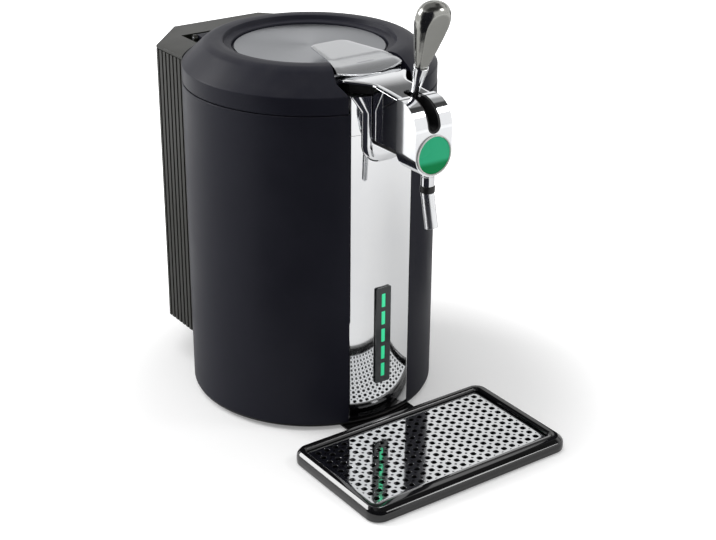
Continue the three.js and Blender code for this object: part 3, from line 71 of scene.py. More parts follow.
def in_frame(points):
    """Points in millimetres round the keg's axis, as points of the frame in metres."""
    return np.asarray(points, float) * MILLIMETRE + KEG_AXIS


# %% [markdown]
# ## Surfaces as arrays
#
# A surface here is a pair: an array of points and a list of faces. Most shapes are a stack of
# rings. Each ring is one cross-section with the same number of points, and faces join each
# point to its neighbour and to the same point of the next ring. A modelling tool could do the
# same by hand, but in arrays the whole grid is one expression.

# %% Rings into a skin
def skinned(rings, looped=False, filled=True):
    """Joins point j of ring i to point j + 1 and to point j of ring i + 1. The end rings are
    filled, or the last ring is joined to the first when the stack is looped."""
    rings = np.asarray(rings, float)
    count, around = rings.shape[:2]
    index = np.arange(count * around).reshape(count, around)
    if looped:
        index = np.vstack([index, index[:1]])
    near, far = index[:-1], index[1:]
    quads = np.stack([near, np.roll(near, -1, 1), np.roll(far, -1, 1), far], -1)
    faces = quads.reshape(-1, 4).tolist()
    if filled and not looped:
        faces += [index[0][::-1].tolist(), index[-1].tolist()]
    return rings.reshape(-1, 3), faces


def together(*surfaces):
    """Several surfaces as one: the faces of each count on from the points before it."""
    points, faces, start = [], [], 0
    for some_points, some_faces in surfaces:
        points.append(np.asarray(some_points, float))
        faces += [[start + i for i in face] for face in some_faces]
        start += len(some_points)
    return np.vstack(points), faces


def level(plan, height):
    """A plan's points, all at one height."""
    return np.column_stack([plan, np.full(len(plan), height)])


# %% [markdown]
# No moulded or pressed part has a true corner, and the small round at each edge is what
# catches the light. So corners are rounded in the outline itself. A fillet needs tangent
# lengths and arc centres; a short quadratic curve from one side to the other is nearly the
# same at this size, and works for every angle.

# %% Rounded outlines
def softened(corners, radius, steps=4, closed=True):
    """Each corner P becomes the curve (1-t)^2 A + 2t(1-t) P + t^2 B, where A and B lie on its
    two sides, a radius away from P or 45% of the side where it is shorter."""
    corners = np.asarray(corners, float)
    to_before, to_after = np.roll(corners, 1, 0) - corners, np.roll(corners, -1, 0) - corners
    length_before = np.linalg.norm(to_before, axis=1)
    length_after = np.linalg.norm(to_after, axis=1)
    reach = np.broadcast_to(np.asarray(radius, float), len(corners)).copy()
    if not closed:
        reach[[0, -1]] = 0
    reach = np.minimum(reach, 0.45 * np.minimum(length_before, length_after))
    start = corners + to_before * (reach / length_before)[:, None]
    end = corners + to_after * (reach / length_after)[:, None]
    t = np.linspace(0, 1, steps + 1)[None, :, None]
    curve = (1 - t) ** 2 * start[:, None] + 2 * t * (1 - t) * corners[:, None] + t**2 * end[:, None]
    curve = curve.reshape(-1, 2)
    step = np.linalg.norm(curve - np.roll(curve, 1, 0), axis=1)
    step[0] = step[0] if closed else 1
    return curve[step > 1e-5]


def drawn_in(outline, distance):
    """Moves each point of a closed outline inwards along the sum of its two edge normals,
    divided by one plus their product, which keeps both edges the same distance away."""
    outline = np.asarray(outline, float)
    following = np.roll(outline, -1, 0)
    edge = following - outline
    edge /= np.linalg.norm(edge, axis=1)[:, None]
    area = np.sum(outline[:, 0] * following[:, 1] - outline[:, 1] * following[:, 0])
    normal = np.stack([-edge[:, 1], edge[:, 0]], -1) * np.sign(area)
    before = np.roll(normal, 1, 0)
    share = 1 + np.sum(normal * before, axis=1)
    return outline + (normal + before) / np.maximum(share, 0.2)[:, None] * distance


def rounded_ends(low, high, edge, steps=3):
    """Heights and insets of the rings of a bar whose two ends are rounded by a quarter circle:
    the inset is edge (1 - sin a) while the height grows by edge (1 - cos a)."""
    angle = np.linspace(0, math.pi / 2, steps + 1)
    rise, inset = edge * (1 - np.cos(angle)), edge * (1 - np.sin(angle))
    heights = np.concatenate([low + rise, (high - rise)[::-1]])
    return heights, np.concatenate([inset, inset[::-1]])


def oblong(left, right, low, high):
    """The four corners of an oblong, from the lower left one round by the right."""
    return np.array([(left, low), (right, low), (right, high), (left, high)], float)


def arc(centre, radius, count=40, start=0.0, end=2 * math.pi):
    """Points of a circle, or of an arc between two angles, round a centre."""
    angle = np.linspace(start, end, count, endpoint=end - start < 2 * math.pi - 1e-6)
    return np.column_stack([centre[0] + radius * np.cos(angle), centre[1] + radius * np.sin(angle)])


# %% [markdown]
# Three ways of making a body cover most of the machine. A lathe turns a profile about the
# upright axis. A slab raises an outline and rounds its two rims. A crescent is a slab that
# hugs the casing, such as the mirror panel.

# %% Lathe, slab and crescent
HAIR = 0.01


def lathed(profile, looped=False, sides=192):
    """Turns (radius, height) pairs about the upright axis: point j of ring i stands at angle
    2 pi j / sides. A profile that never meets the axis is looped, and gives a hollow ring."""
    profile = np.asarray(profile, float)
    angle = np.linspace(0, 2 * math.pi, sides, endpoint=False)
    x, y = (np.outer(profile[:, 0], share) for share in (np.cos(angle), np.sin(angle)))
    rings = np.stack([x, y, np.repeat(profile[:, 1:], sides, 1)], -1)
    return skinned(rings, looped, filled=False)


def slab(outline, low, high, edge=0.5):
    """Raises a closed outline from low to high. Near both ends it is drawn in along a quarter
    circle, so that the rims are round. An edge of a hair's width leaves them sharp."""
    heights, insets = rounded_ends(low, high, edge)
    return skinned([level(drawn_in(outline, inset), z) for z, inset in zip(heights, insets)])


def front_slab(outline, low, high, edge=0.5):
    """A slab laid down: its outline is drawn in x and z, and it runs from low to high in y."""
    points, faces = slab(outline, low, high, edge)
    return points[:, [0, 2, 1]], faces


def side_slab(outline, low, high, edge=0.5):
    """A slab on its side: its outline is drawn in y and z, and it runs from low to high in x."""
    points, faces = slab(outline, low, high, edge)
    return points[:, [2, 0, 1]], faces


def block(low, high, edge=0.0):
    """A block between two corners, as a slab of its four plan corners."""
    (x0, y0, z0), (x1, y1, z1) = low, high
    plan = oblong(x0, x1, y0, y1)
    if edge:
        return slab(softened(plan, edge * 2), z0, z1, edge)
    return skinned([level(plan, z) for z in (z0, z1)])


def crescent(x, inner, face):
    """One ring of points round a strip of the casing's front: along the face's radius from left
    to right, and back along the inner one, with y = -sqrt(r^2 - x^2) on both."""
    outside, inside = (np.stack([x, -np.sqrt(r**2 - x**2)], -1) for r in (face, inner))
    return np.concatenate([outside, inside[::-1]])


def strip(half_width, low, high, inner, outer, edge=0.4, count=40):
    """A stack of crescents of one width, whose two ends are rounded like a slab's. The points
    are x = h sin a for even angles, closest at the two sides, where the outer radius falls
    along a quarter circle."""
    rings = []
    for z, inset in zip(*rounded_ends(low, high, edge)):
        half = half_width - inset
        x = half * np.sin(np.linspace(-math.pi / 2, math.pi / 2, count))
        room = np.clip((half - np.abs(x)) / edge, 0, 1)
        face = outer - edge * (1 - np.sqrt(1 - (1 - room) ** 2))
        rings.append(level(crescent(x, inner, face), z))
    return skinned(rings)


# %% [markdown]
# A surface becomes an object in two steps. First it is a plain body, which other bodies can be
# taken from or added to with a boolean, as a mill cuts a blank. Then it is dressed: it gets
# its finish, the CAD nodes that it stands for are hidden, and it rides on its body.
#
# Faces meeting at more than a set angle stay sharp and the rest are shaded as one curve. A
# small live bevel rounds the edges that a cut leaves. The shading's direction at a corner is
# weighted by the area of the faces there, so that a large flat face mirrors as a flat one.

# %% Bodies, cuts and dressing
SHARP_ANGLE, BEVEL_ANGLE = math.radians(34), math.radians(40)


def in_scene(name, data):
    """A new object with some data, such as a mesh or a light, linked to the scene."""
    made = bpy.data.objects.new(name, data)
    bpy.context.scene.collection.objects.link(made)
    return made


def body(name, surface):
    """A surface as an object in the frame, with doubled points merged and faces outwards."""
    points, faces = surface
    mesh = bpy.data.meshes.new(name)
    mesh.from_pydata(in_frame(points).tolist(), [], faces)
    tidy = bmesh.new()
    tidy.from_mesh(mesh)
    bmesh.ops.remove_doubles(tidy, verts=tidy.verts, dist=2e-6)
    bmesh.ops.dissolve_degenerate(tidy, edges=tidy.edges, dist=1e-7)
    bmesh.ops.recalc_face_normals(tidy, faces=tidy.faces)
    tidy.to_mesh(mesh)
    tidy.free()
    return in_scene(name, mesh)


def shaped(piece, tool, operation="DIFFERENCE"):
    """Takes a tool's body from a piece, adds it, or keeps what both share. The tool is a
    surface or a plain body, and is used up."""
    tool = body("tool", tool) if isinstance(tool, tuple) else tool
    change = piece.modifiers.new("change", "BOOLEAN")
    change.object = tool
    change.operation = operation
    change.solver = "EXACT"
    bpy.context.view_layer.update()
    graph = bpy.context.evaluated_depsgraph_get()
    result = bpy.data.meshes.new_from_object(piece.evaluated_get(graph))
    old = piece.data
    piece.modifiers.clear()
    piece.data = result
    bpy.data.meshes.remove(old)
    bpy.data.objects.remove(tool)
    result.name = piece.name


def dressed(piece, finish, rides, stands_for, bevel=0.0, sharp=SHARP_ANGLE):
    """Gives a piece its finish, its shading and its edge bevel in millimetres, and hands it to
    the frame: the body that it rides on and the CAD nodes that it stands for."""
    material, slot = finish
    piece.data.materials.clear()
    piece.data.materials.append(material)
    piece.data.shade_smooth()
    piece.data.set_sharp_from_angle(angle=sharp)
    if bevel:
        rounding = piece.modifiers.new("edge rounding", "BEVEL")
        rounding.width = bevel * MILLIMETRE
        rounding.segments = 2
        rounding.limit_method = "ANGLE"
        rounding.angle_limit = BEVEL_ANGLE
        rounding.harden_normals = True
    weighting = piece.modifiers.new("flat faces stay flat", "WEIGHTED_NORMAL")
    weighting.keep_sharp = True
    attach(piece, rides)
    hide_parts(*stands_for)
    print(piece.name, len(piece.data.polygons), "faces, rides on", rides)


# %% [markdown]
# ## Finishes
#
# The real machine has few materials: charcoal plastic with a soft coat, a darker ribbed
# plastic, gloss black, mirror chrome, satin metal and a few small coloured parts. Photographs
# of such surfaces could be wrapped round the pieces, but nodes stay sharp at every size and
# need no seams. What several finishes share is a node group: a named effect with inputs.

# %% Short ways to place nodes
def placed(tree, kind, values=(), **settings):
    """Adds a shader node, sets its options, and fills its sockets with values or links."""
    made = tree.nodes.new("ShaderNode" + kind)
    for option, value in settings.items():
        setattr(made, option, value)
    for socket, value in dict(values).items():
        if isinstance(value, bpy.types.NodeSocket):
            tree.links.new(value, made.inputs[socket])
        else:
            made.inputs[socket].default_value = value
    return made


def reckoned(tree, operation, *values, **settings):
    """The result of a math node for some values or links."""
    made = placed(tree, "Math", dict(enumerate(values)), operation=operation, **settings)
    return made.outputs["Value"]


def ranged(tree, value, source, target=(0.0, 1.0), **settings):
    """A value carried over from one range to another."""
    ends = {"From Min": source[0], "From Max": source[1], "To Min": target[0], "To Max": target[1]}
    return placed(tree, "MapRange", {"Value": value, **ends}, **settings).outputs["Result"]


def blended(tree, factor, first, second):
    """Two tones mixed by a factor. Each is a link or three numbers."""
    ends = [(*tone, 1.0) if isinstance(tone, tuple) else tone for tone in (first, second)]
    made = placed(tree, "Mix", {0: factor, 6: ends[0], 7: ends[1]}, data_type="RGBA")
    return made.outputs[2]


def on_object(tree):
    """Where a point lies on its own piece, which stays the same when the piece moves."""
    return placed(tree, "TexCoord").outputs["Object"]


def noise(tree, where, scale, detail):
    """A soft noise of some scale."""
    values = {"Vector": where, "Scale": scale, "Detail": detail}
    return placed(tree, "TexNoise", values).outputs["Fac"]


def effect(name, inputs, outputs):
    """An empty shader group: the group, its named inputs with their values, and its outputs."""
    tree = bpy.data.node_groups.new(name, "ShaderNodeTree")
    for label, value in inputs.items():
        kind = "NodeSocketVector" if isinstance(value, tuple) else "NodeSocketFloat"
        tree.interface.new_socket(label, in_out="INPUT", socket_type=kind).default_value = value
    for label in outputs:
        tree.interface.new_socket(label, in_out="OUTPUT", socket_type="NodeSocketFloat")
    given, put_out = (tree.nodes.new("NodeGroup" + end) for end in ("Input", "Output"))
    return tree, given.outputs, put_out.inputs


# %% [markdown]
# Moulded plastic has a fine grain, which the tool's skin left on it, and a broad haze where
# hands and cloths have polished it. Two noises of very different size give both. A noise
# seldom leaves the range from 0.3 to 0.7, so that is what the haze is stretched from.

# %% Grain and haze of moulded plastic
NOISE_RANGE = (0.3, 0.7)
moulding, given, put_out = effect(
    "moulded grain", {"Grain Scale": 2500.0, "Haze Scale": 14.0}, ["Grain", "Haze"]
)
where = on_object(moulding)
broad = noise(moulding, where, given["Haze Scale"], 4.0)
moulding.links.new(noise(moulding, where, given["Grain Scale"], 3.0), put_out["Grain"])
moulding.links.new(ranged(moulding, broad, NOISE_RANGE), put_out["Haze"])

# %% [markdown]
# Brushed and drawn metal carries fine parallel lines. A noise that is squeezed along one
# direction and stretched along another is just that, so the group takes its scale as three
# numbers, one for each axis.

# %% Lines of brushed metal
brushing, given, put_out = effect(
    "brushed lines", {"Line Scale": (40.0, 2500.0, 2500.0), "Haze Scale": 20.0}, ["Lines", "Haze"]
)
where = on_object(brushing)
squeezed = placed(brushing, "VectorMath", {0: where, 1: given["Line Scale"]}, operation="MULTIPLY")
broad = noise(brushing, where, given["Haze Scale"], 3.0)
brushing.links.new(noise(brushing, squeezed.outputs["Vector"], 1.0, 2.0), put_out["Lines"])
brushing.links.new(ranged(brushing, broad, NOISE_RANGE), put_out["Haze"])

# %% [markdown]
# A trace of dust settles on whatever faces upwards. The normal's height says how far a face
# looks up, and a noise breaks the film into patches.

# %% Dust on what faces upwards
dusting, given, put_out = effect("settled dust", {"Amount": 0.1, "Patch Scale": 60.0}, ["Dust"])
normal = placed(dusting, "NewGeometry").outputs["Normal"]
upright = placed(dusting, "SeparateXYZ", {"Vector": normal}).outputs["Z"]
patches = noise(dusting, on_object(dusting), given["Patch Scale"], 6.0)
film = reckoned(dusting, "MULTIPLY", upright, patches, use_clamp=True)
dusting.links.new(reckoned(dusting, "MULTIPLY", film, given["Amount"]), put_out["Dust"])

# %% [markdown]
# Two recipes turn the groups into finishes. Both mix two close tones by the haze, let the
# haze swing the roughness between two values, and feed the fine texture to a bump node with a
# real depth. What is the same all over, such as the coat, is typed on the shader itself.

# %% Recipes for plastic and for metal
DUST_TONE = (0.32, 0.31, 0.29)


def new_material(name, **constants):
    """A material with its nodes and its shader's sockets, on which the constants are typed."""
    material = bpy.data.materials.new(name)
    material.use_nodes = True
    sockets = material.node_tree.nodes["Principled BSDF"].inputs
    for socket, value in constants.items():
        sockets[socket.replace("_", " ")].default_value = value
    return material, material.node_tree, sockets


def recipe(name, slot, tones, roughness, texture, depth, relief, dust, **constants):
    """A finish whose tone and roughness swing with the haze of a group, and whose bump is the
    group's fine output: the material, and the record's slot that it belongs to."""
    material, tree, sockets = new_material(name, **constants)
    group, values = texture
    surface = placed(tree, "Group", values, node_tree=group).outputs
    film = placed(tree, "Group", {"Amount": dust}, node_tree=dusting).outputs["Dust"]
    dusty = blended(tree, film, blended(tree, surface["Haze"], *tones), DUST_TONE)
    tree.links.new(dusty, sockets["Base Color"])
    tree.links.new(ranged(tree, surface["Haze"], (0.0, 1.0), roughness), sockets["Roughness"])
    raised = {"Height": surface[relief], "Strength": 1.0, "Distance": depth * MILLIMETRE}
    tree.links.new(placed(tree, "Bump", raised).outputs["Normal"], sockets["Normal"])
    return material, slot


def plastic(
    name, slot, tones, roughness, grain=2500.0, haze=14.0, depth=0.01, dust=0.06, **constants
):
    """The recipe with a moulded grain."""
    texture = (moulding, {"Grain Scale": grain, "Haze Scale": haze})
    return recipe(name, slot, tones, roughness, texture, depth, "Grain", dust, **constants)


def metal(name, slot, tones, roughness, lines, depth, **constants):
    """The recipe with brushed lines, for bare or plated metal, which is kept free of dust."""
    texture = (brushing, {"Line Scale": lines, "Haze Scale": 20.0})
    constants = {"Metallic": 1.0, **constants}
    return recipe(name, slot, tones, roughness, texture, depth, "Lines", 0.0, **constants)


def painted_shade_and_dull_below(material, height, tone, roughness):
    """Below a height in millimetres on the object, the tone turns to a painted shade and the
    roughness rises:
    the hole walls, their rolled edges and the underside are painted dark and dull."""
    tree = material.node_tree
    sockets = tree.nodes["Principled BSDF"].inputs
    upwards = placed(tree, "SeparateXYZ", {"Vector": on_object(tree)}).outputs["Z"]
    low = reckoned(tree, "LESS_THAN", upwards, height * MILLIMETRE)
    base, smooth = (sockets[name].links[0].from_socket for name in ("Base Color", "Roughness"))
    tree.links.new(blended(tree, low, base, tone), sockets["Base Color"])
    rough = placed(tree, "Mix", {0: low, 2: smooth, 3: roughness})
    tree.links.new(rough.outputs[0], sockets["Roughness"])


# %% [markdown]
# Each finish is written once, with the record's slot that it belongs to. The tones are linear
# light, so a value of 0.02 already looks dark grey. The soft coat on the casing reflects less
# than bare plastic does, so its specular level is low.

# %% The finishes of this machine
soft_charcoal = plastic(
    "soft charcoal coat", "soft_charcoal", [(0.0105, 0.0108, 0.0185), (0.0145, 0.015, 0.0235)],
    (0.4, 0.48), depth=0.006, Specular_IOR_Level=0.13,
)
ribbed_black = plastic(
    "ribbed olive black", "olive_black", [(0.0095, 0.01, 0.0075), (0.0135, 0.014, 0.0105)],
    (0.36, 0.46), Specular_IOR_Level=0.3,
)
gloss_black = plastic(
    "gloss black moulding", "gloss_black", [(0.003, 0.003, 0.0035), (0.005, 0.005, 0.0055)],
    (0.05, 0.1), grain=400.0, depth=0.0008, dust=0.008, Coat_Weight=0.5, Coat_Roughness=0.04,
)
matt_black = plastic(
    "matt black moulding", "matt_black", [(0.006, 0.006, 0.007), (0.011, 0.011, 0.012)], (0.4, 0.55)
)
black_rubber = plastic(
    "black rubber", "rubber", [(0.012, 0.012, 0.012), (0.022, 0.021, 0.02)], (0.75, 0.9),
    grain=1800.0, depth=0.03,
)
white_plastic = plastic(
    "white moulding", "white_plastic", [(0.78, 0.78, 0.76), (0.84, 0.84, 0.82)], (0.3, 0.42),
    dust=0.03,
)
pale_foam = plastic(
    "pale moulded foam", "foam", [(0.72, 0.66, 0.5), (0.8, 0.75, 0.6)], (0.85, 0.95),
    grain=700.0, depth=0.2, dust=0.0,
)
circuit_green = plastic(
    "green circuit board", "badge_green", [(0.01, 0.09, 0.03), (0.015, 0.13, 0.045)], (0.3, 0.4),
    dust=0.0,
)
smoked_grey = plastic(
    "smoked grey display", "display_grey", [(0.03, 0.034, 0.037), (0.038, 0.042, 0.045)],
    (0.14, 0.22), grain=500.0, depth=0.0008, dust=0.0, Coat_Weight=0.3,
)
mirror_panel = metal(
    "mirror chrome panel", "chrome_skin", [(0.88, 0.89, 0.905), (0.92, 0.925, 0.93)],
    (0.025, 0.06), (6, 6, 1.5), 0.01,
)
mirror_tap = metal(
    "mirror chrome tap", "chrome_skin", [(0.8, 0.81, 0.83), (0.86, 0.87, 0.88)], (0.04, 0.07),
    (60, 60, 60), 0.0004,
)
satin_spout = metal(
    "satin chrome spout", "chrome_skin", [(0.78, 0.79, 0.8), (0.84, 0.85, 0.86)], (0.24, 0.32),
    (60, 60, 60), 0.0004,
)
satin_plate = metal(
    "satin silver plate", "satin_silver", [(0.6, 0.61, 0.63), (0.68, 0.69, 0.7)], (0.2, 0.27),
    (2200, 60, 60), 0.0006,
)
satin_grip = metal(
    "satin nickel grip", "satin_silver", [(0.3, 0.3, 0.28), (0.36, 0.36, 0.34)], (0.16, 0.22),
    (2600, 2600, 90), 0.0008,
)
brushed_disc = metal(
    "brushed lid disc", "satin_silver", [(0.34, 0.35, 0.37), (0.41, 0.42, 0.44)], (0.3, 0.42),
    (1500, 90, 90), 0.02, Anisotropic=0.5,
)
punched_steel = metal(
    "polished punched steel", "grille_steel", [(0.62, 0.63, 0.64), (0.72, 0.73, 0.74)],
    (0.05, 0.09), (60, 1800, 1800), 0.0006,
)
# painted shade: below its top face, in the holes and underneath, the grille is painted near black
painted_shade_and_dull_below(punched_steel[0], 9.19, (0.07, 0.07, 0.075), 0.6)
plain_aluminium = metal(
    "plain aluminium", "aluminium", [(0.6, 0.61, 0.63), (0.7, 0.71, 0.72)], (0.3, 0.45),
    (90, 90, 900), 0.006,
)
print("finishes:", [m.name for m in bpy.data.materials])

# %% [markdown]
# Two finishes change with height. The level bars are light guides: clear green resin
# lit from behind, brighter towards the top of the display. The badge is a domed green disc;
# its upper part is painted paler, a painted highlight as if light fell through the resin. Both
# read the height on the object, and the haze of the plastic makes the boundary wander by up to 1.5
# mm.

# %% Lit bars and the badge's resin
def graded(name, slot, heights, tones, glow=0.0, **constants):
    """A resin whose tone runs from one to the other between two heights in millimetres."""
    material, tree, sockets = new_material(name, **constants)
    upwards = placed(tree, "SeparateXYZ", {"Vector": on_object(tree)}).outputs["Z"]
    haze = placed(tree, "Group", node_tree=moulding).outputs["Haze"]
    wander = reckoned(tree, "MULTIPLY_ADD", haze, 1.5 * MILLIMETRE, upwards)
    ends = [height * MILLIMETRE for height in heights]
    share = ranged(tree, wander, ends, interpolation_type="SMOOTHSTEP")
    tone = blended(tree, share, *tones)
    tree.links.new(tone, sockets["Base Color"])
    if glow:
        tree.links.new(tone, sockets["Emission Color"])
        sockets["Emission Strength"].default_value = glow
    tree.links.new(ranged(tree, haze, (0.0, 1.0), (0.2, 0.3)), sockets["Roughness"])
    return material, slot


lit_green = graded(
    "lit green bar", "lit_green", (40, 150), [(0.03, 0.62, 0.28), (0.05, 0.7, 0.34)], glow=0.55
)
# painted highlight: the badge's upper part is painted paler than its lower part
badge_green = graded(
    "badge resin", "badge_green", (291, 297), [(0.003, 0.3, 0.09), (0.045, 0.6, 0.3)],
    Specular_IOR_Level=0.1,
)


# %% [markdown]
# ## The round body
#
# The casing is a rolled sheet of plastic, open in front for the mirror panel. A tube with
# rounded rims is turned on the lathe, and the opening is cut out with a block, as the moulding
# tool's core does. A second block opens it behind for the cooling.

# %% Casing
CASING_RADIUS, CASING_WALL, CASING_BOTTOM, CASING_TOP = 122.5, 3.0, 6.0, 321.0
OPENING_HALF, FAR = 35.2, 300.0


def turned(profile, radii, hollow=False, sides=192):
    """The lathe's shape of a profile whose corners are rounded. A hollow one is a closed ring."""
    return lathed(softened(profile, radii, closed=hollow), hollow, sides)


wall = oblong(CASING_RADIUS - CASING_WALL, CASING_RADIUS, CASING_BOTTOM, CASING_TOP)
casing = body("casing_shell", turned(wall, [0.5, 2.0, 1.0, 0.5], hollow=True))
panel_opening = block((-OPENING_HALF, -FAR, -10), (OPENING_HALF, 0, FAR + 40))
cooling_opening = block((-51, 0, 74), (51, FAR, 196))
for opening in (panel_opening, cooling_opening):
    shaped(casing, opening)
dressed(casing, soft_charcoal, "dispenser", ["casing"], bevel=0.5)

# %% [markdown]
# The base plate is a dark disc drawn in a little under the casing, so the machine seems to
# float. The bay inside holds the keg: an aluminium liner, a rubber rest, and a black deck round
# its mouth. All are turned parts, so a table of profiles makes them in one go. The lid's seal
# is on the same table, and it rides on the lid.

# %% Turned parts of the stand, the bay and the lid
TURNED_PARTS = {
    "base_plate": (
        [(0, 3.6), (121.2, 3.6), (121.2, 5.7), (115, 5.7), (115, 11.7), (0, 11.7)],
        1.0, False, matt_black, "dispenser",
    ),
    "keg_liner": (
        [(0, 34), (90.5, 34), (90.5, 303.7), (89, 303.7), (89, 35.5), (0, 35.5)],
        [0, 4, 0.4, 0.4, 3, 0], False, plain_aluminium, "dispenser",
    ),
    "keg_rest": (oblong(0, 60, 35.8, 39.8), 1.2, False, black_rubber, "dispenser"),
    "top_deck": (
        [(89, 304), (91.2, 304), (91.2, 316.5), (119.2, 316.5), (119.2, 319.5), (89, 319.5)],
        [0.6, 0.6, 1.5, 0.8, 0.8, 2.5], True, matt_black, "dispenser",
    ),
    "lid_seal": (oblong(92, 98, 319.8, 321.7), 0.8, True, black_rubber, "lid"),
}
for node, (profile, radii, hollow, finish, rides) in TURNED_PARTS.items():
    dressed(body("round_" + node, turned(profile, radii, hollow)), finish, rides, [node])

# %% [markdown]
# The lid is a shallow hollow dome: skirt, chamfer, rounded crown, and a sunken ledge round the
# metal disc. It is notched in front for the latch plate and the tap arm. The notch has a floor
# and walls of its own, so the dome gets a tub first, and the notch is then cut into the tub.

# %% Lid shell
LID_RADIUS, LID_BOTTOM = 122.2, 321.4
dome_outside = softened(
    [
        (0, 350.1), (74.1, 350.1), (74.7, 353.8), (75.4, 354.6), (81.4, 355.4), (83.0, 359.6),
        (88, 360.2), (96, 359.8), (101.5, 357.4), (106.2, 353), (LID_RADIUS, 338),
        (LID_RADIUS, LID_BOTTOM + 1), (LID_RADIUS - 1, LID_BOTTOM),
    ],
    [0, 0.3, 0.4, 0.4, 0.6, 0.8, 3.0, 4.0, 2.0, 0.8, 0.9, 0.4, 0.4],
    closed=False,
)
dome_inside = [
    (119.8, LID_BOTTOM), (119.8, 336.8), (104.8, 350.1), (98.8, 355.6), (95, 357.2),
    (86.4, 355.6), (82.9, 351), (76.5, 351), (76.5, 347.7), (0, 347.7),
]
lid = body("lid_dome", lathed(np.vstack([dome_outside, dome_inside])))

MOUTH_HALF, MOUTH_REACH, BEND_HALF, BEND_REACH, TAPER = 36.0, 117.0, 41.0, 104.0, 9.5 / 29.0


def notch_plan(margin, back):
    """The notch from above: half widths at four distances in front of the axis, with both
    sides moved out by a margin. Behind the bend it grows narrower."""
    halves = [MOUTH_HALF, MOUTH_HALF, BEND_HALF, BEND_HALF - TAPER * (BEND_REACH - back)]
    right = np.column_stack([halves, [-FAR, -MOUTH_REACH, -BEND_REACH, -back]]) + [margin, 0]
    return np.vstack([right, right[::-1] * [-1, 1]])


NOTCH_FLOOR, TUB_WALL, TUB_BACK, NOTCH_THROUGH, ABOVE = 347.4, 2.2, 72.5, 100.0, 370.0
tub_plan = notch_plan(TUB_WALL, TUB_BACK - TUB_WALL)
tub = body("tub", slab(tub_plan, NOTCH_FLOOR - TUB_WALL, 366, HAIR))
shaped(tub, lathed(np.vstack([dome_outside, [(0, LID_BOTTOM)]])), "INTERSECT")
shaped(lid, tub, "UNION")
notch = slab(notch_plan(0, TUB_BACK), NOTCH_FLOOR, ABOVE, HAIR)
arm_room = slab(notch_plan(0, NOTCH_THROUGH), LID_BOTTOM - 6, ABOVE, HAIR)
hook_room = block((-10.2, -NOTCH_THROUGH, 300), (10.2, -84, ABOVE))
for room in (notch, arm_room, hook_room):
    shaped(lid, room)

# %% [markdown]
# Two lugs at the back of the lid take the hinge pins. Each is a slab drawn from the side, a
# flat arm that ends in a round eye, and the pin's hole is cut through it.

# %% Hinge lugs on the lid
HINGE_REACH, HINGE_HEIGHT, PIN_HOLE = 131.0, 336.0, 2.3
LUG_RADIUS, LUG_ROOT, LUG_OFFSET, LUG_WIDTH = 4.0, 108.0, 42.0, 14.0
eye = arc((HINGE_REACH, HINGE_HEIGHT), LUG_RADIUS, 24, -math.pi / 2, math.pi / 2)
root = [(LUG_ROOT, HINGE_HEIGHT + 2), (LUG_ROOT, HINGE_HEIGHT - LUG_RADIUS)]
for middle in (-LUG_OFFSET, LUG_OFFSET):
    near, far = middle - LUG_WIDTH / 2, middle + LUG_WIDTH / 2
    shaped(lid, side_slab(np.vstack([eye, root]), near, far, 0.4), "UNION")
shaped(lid, side_slab(arc((HINGE_REACH, HINGE_HEIGHT), PIN_HOLE), -80, 80, HAIR))
dressed(lid, soft_charcoal, "lid", ["lid_shell"], bevel=0.35)

# %% [markdown]
# The disc on the lid is aluminium with a turned edge. It stays bare. The lid's white liner
# under the dome is a turned plug, with the notch taken out of it.

# %% Lid disc and liner
disc = turned(oblong(0, 72.5, 350.4, 353), [0, 0.4, 0.7, 0])
dressed(body("lid_plate", disc), brushed_disc, "lid", ["lid_disc"])
liner_profile = [(0, 315), (86, 315), (86, 322), (119.5, 322), (119.5, 325), (0, 325)]
liner = body("lid_inner_plug", turned(liner_profile, [0, 2.5, 1.5, 0.6, 0.6, 0]))
shaped(liner, slab(notch_plan(0.3, NOTCH_THROUGH), 300, 340, HAIR))
dressed(liner, white_plastic, "lid", ["lid_liner"], bevel=0.5)

# %% [markdown]
# The latch plate is one pressed sheet, bent down towards the front. It is a grid of two
# parameters: one runs from the back edge to the round front edge, the other round the thin
# cross-section. Height is read from the bend line at each distance, so the bends are smooth.

# %% Latch plate
PLATE_FRONT, PLATE_BACK, PLATE_THICKNESS = 104.0, 29.0, 1.8
PLATE_HALF_BACK, PLATE_HALF_FRONT, ROUNDED_ROWS = 20, 36, 5
PLATE_BENDS = ([0, 29, 78, 94, 104, 112], [362.2, 362, 360.8, 357.8, 351.4, 346.3])
PLATE_EASE = np.linspace(-4, 4, 9)


def eased(distance, bends, around):
    """Heights at a distance in front of the axis, read from straight lines between bends, and
    averaged over some points before and behind, so that each bend has a radius."""
    return np.interp(np.asarray(distance, float)[..., None] + around, *bends).mean(-1)


def thin_sheet(x, distance, top, thickness, rim, rim_share, tuck):
    """A grid of points (x, -distance, top) over the same grid a thickness lower. Over the outer
    share of the width the upper one sinks by the rim's quarter circle, the lower one rises by
    a part of that."""
    across = np.abs(np.linspace(-1, 1, x.shape[1]))
    drop = rim * (1 - np.sqrt(1 - np.clip(1 - (1 - across) / rim_share, 0, 1) ** 2))
    upper = np.stack([x, -distance, top - drop], -1)
    lower = np.stack([x, -distance, top - thickness + drop * tuck], -1)
    return skinned(np.concatenate([upper, lower[:, ::-1]], 1))


def pressed_plate(rows=60, columns=25):
    """Row s runs from the back edge to the front arc, and the half width grows evenly. Over
    the first rows it comes out to that along a quarter circle, which rounds the corners."""
    s = np.linspace(0, 1, rows)[:, None]
    half = PLATE_HALF_BACK + (PLATE_HALF_FRONT - PLATE_HALF_BACK) * s
    still_round = np.clip(1 - s * (rows - 1) / ROUNDED_ROWS, 0, 1)
    x = half * (0.65 + 0.35 * np.sqrt(1 - still_round**2)) * np.linspace(-1, 1, columns)
    distance = PLATE_BACK + (np.sqrt(PLATE_FRONT**2 - x**2) - PLATE_BACK) * s
    height = eased(distance, PLATE_BENDS, PLATE_EASE)
    return thin_sheet(x, distance, height, PLATE_THICKNESS, 0.5, 1 / 8, 0.5)


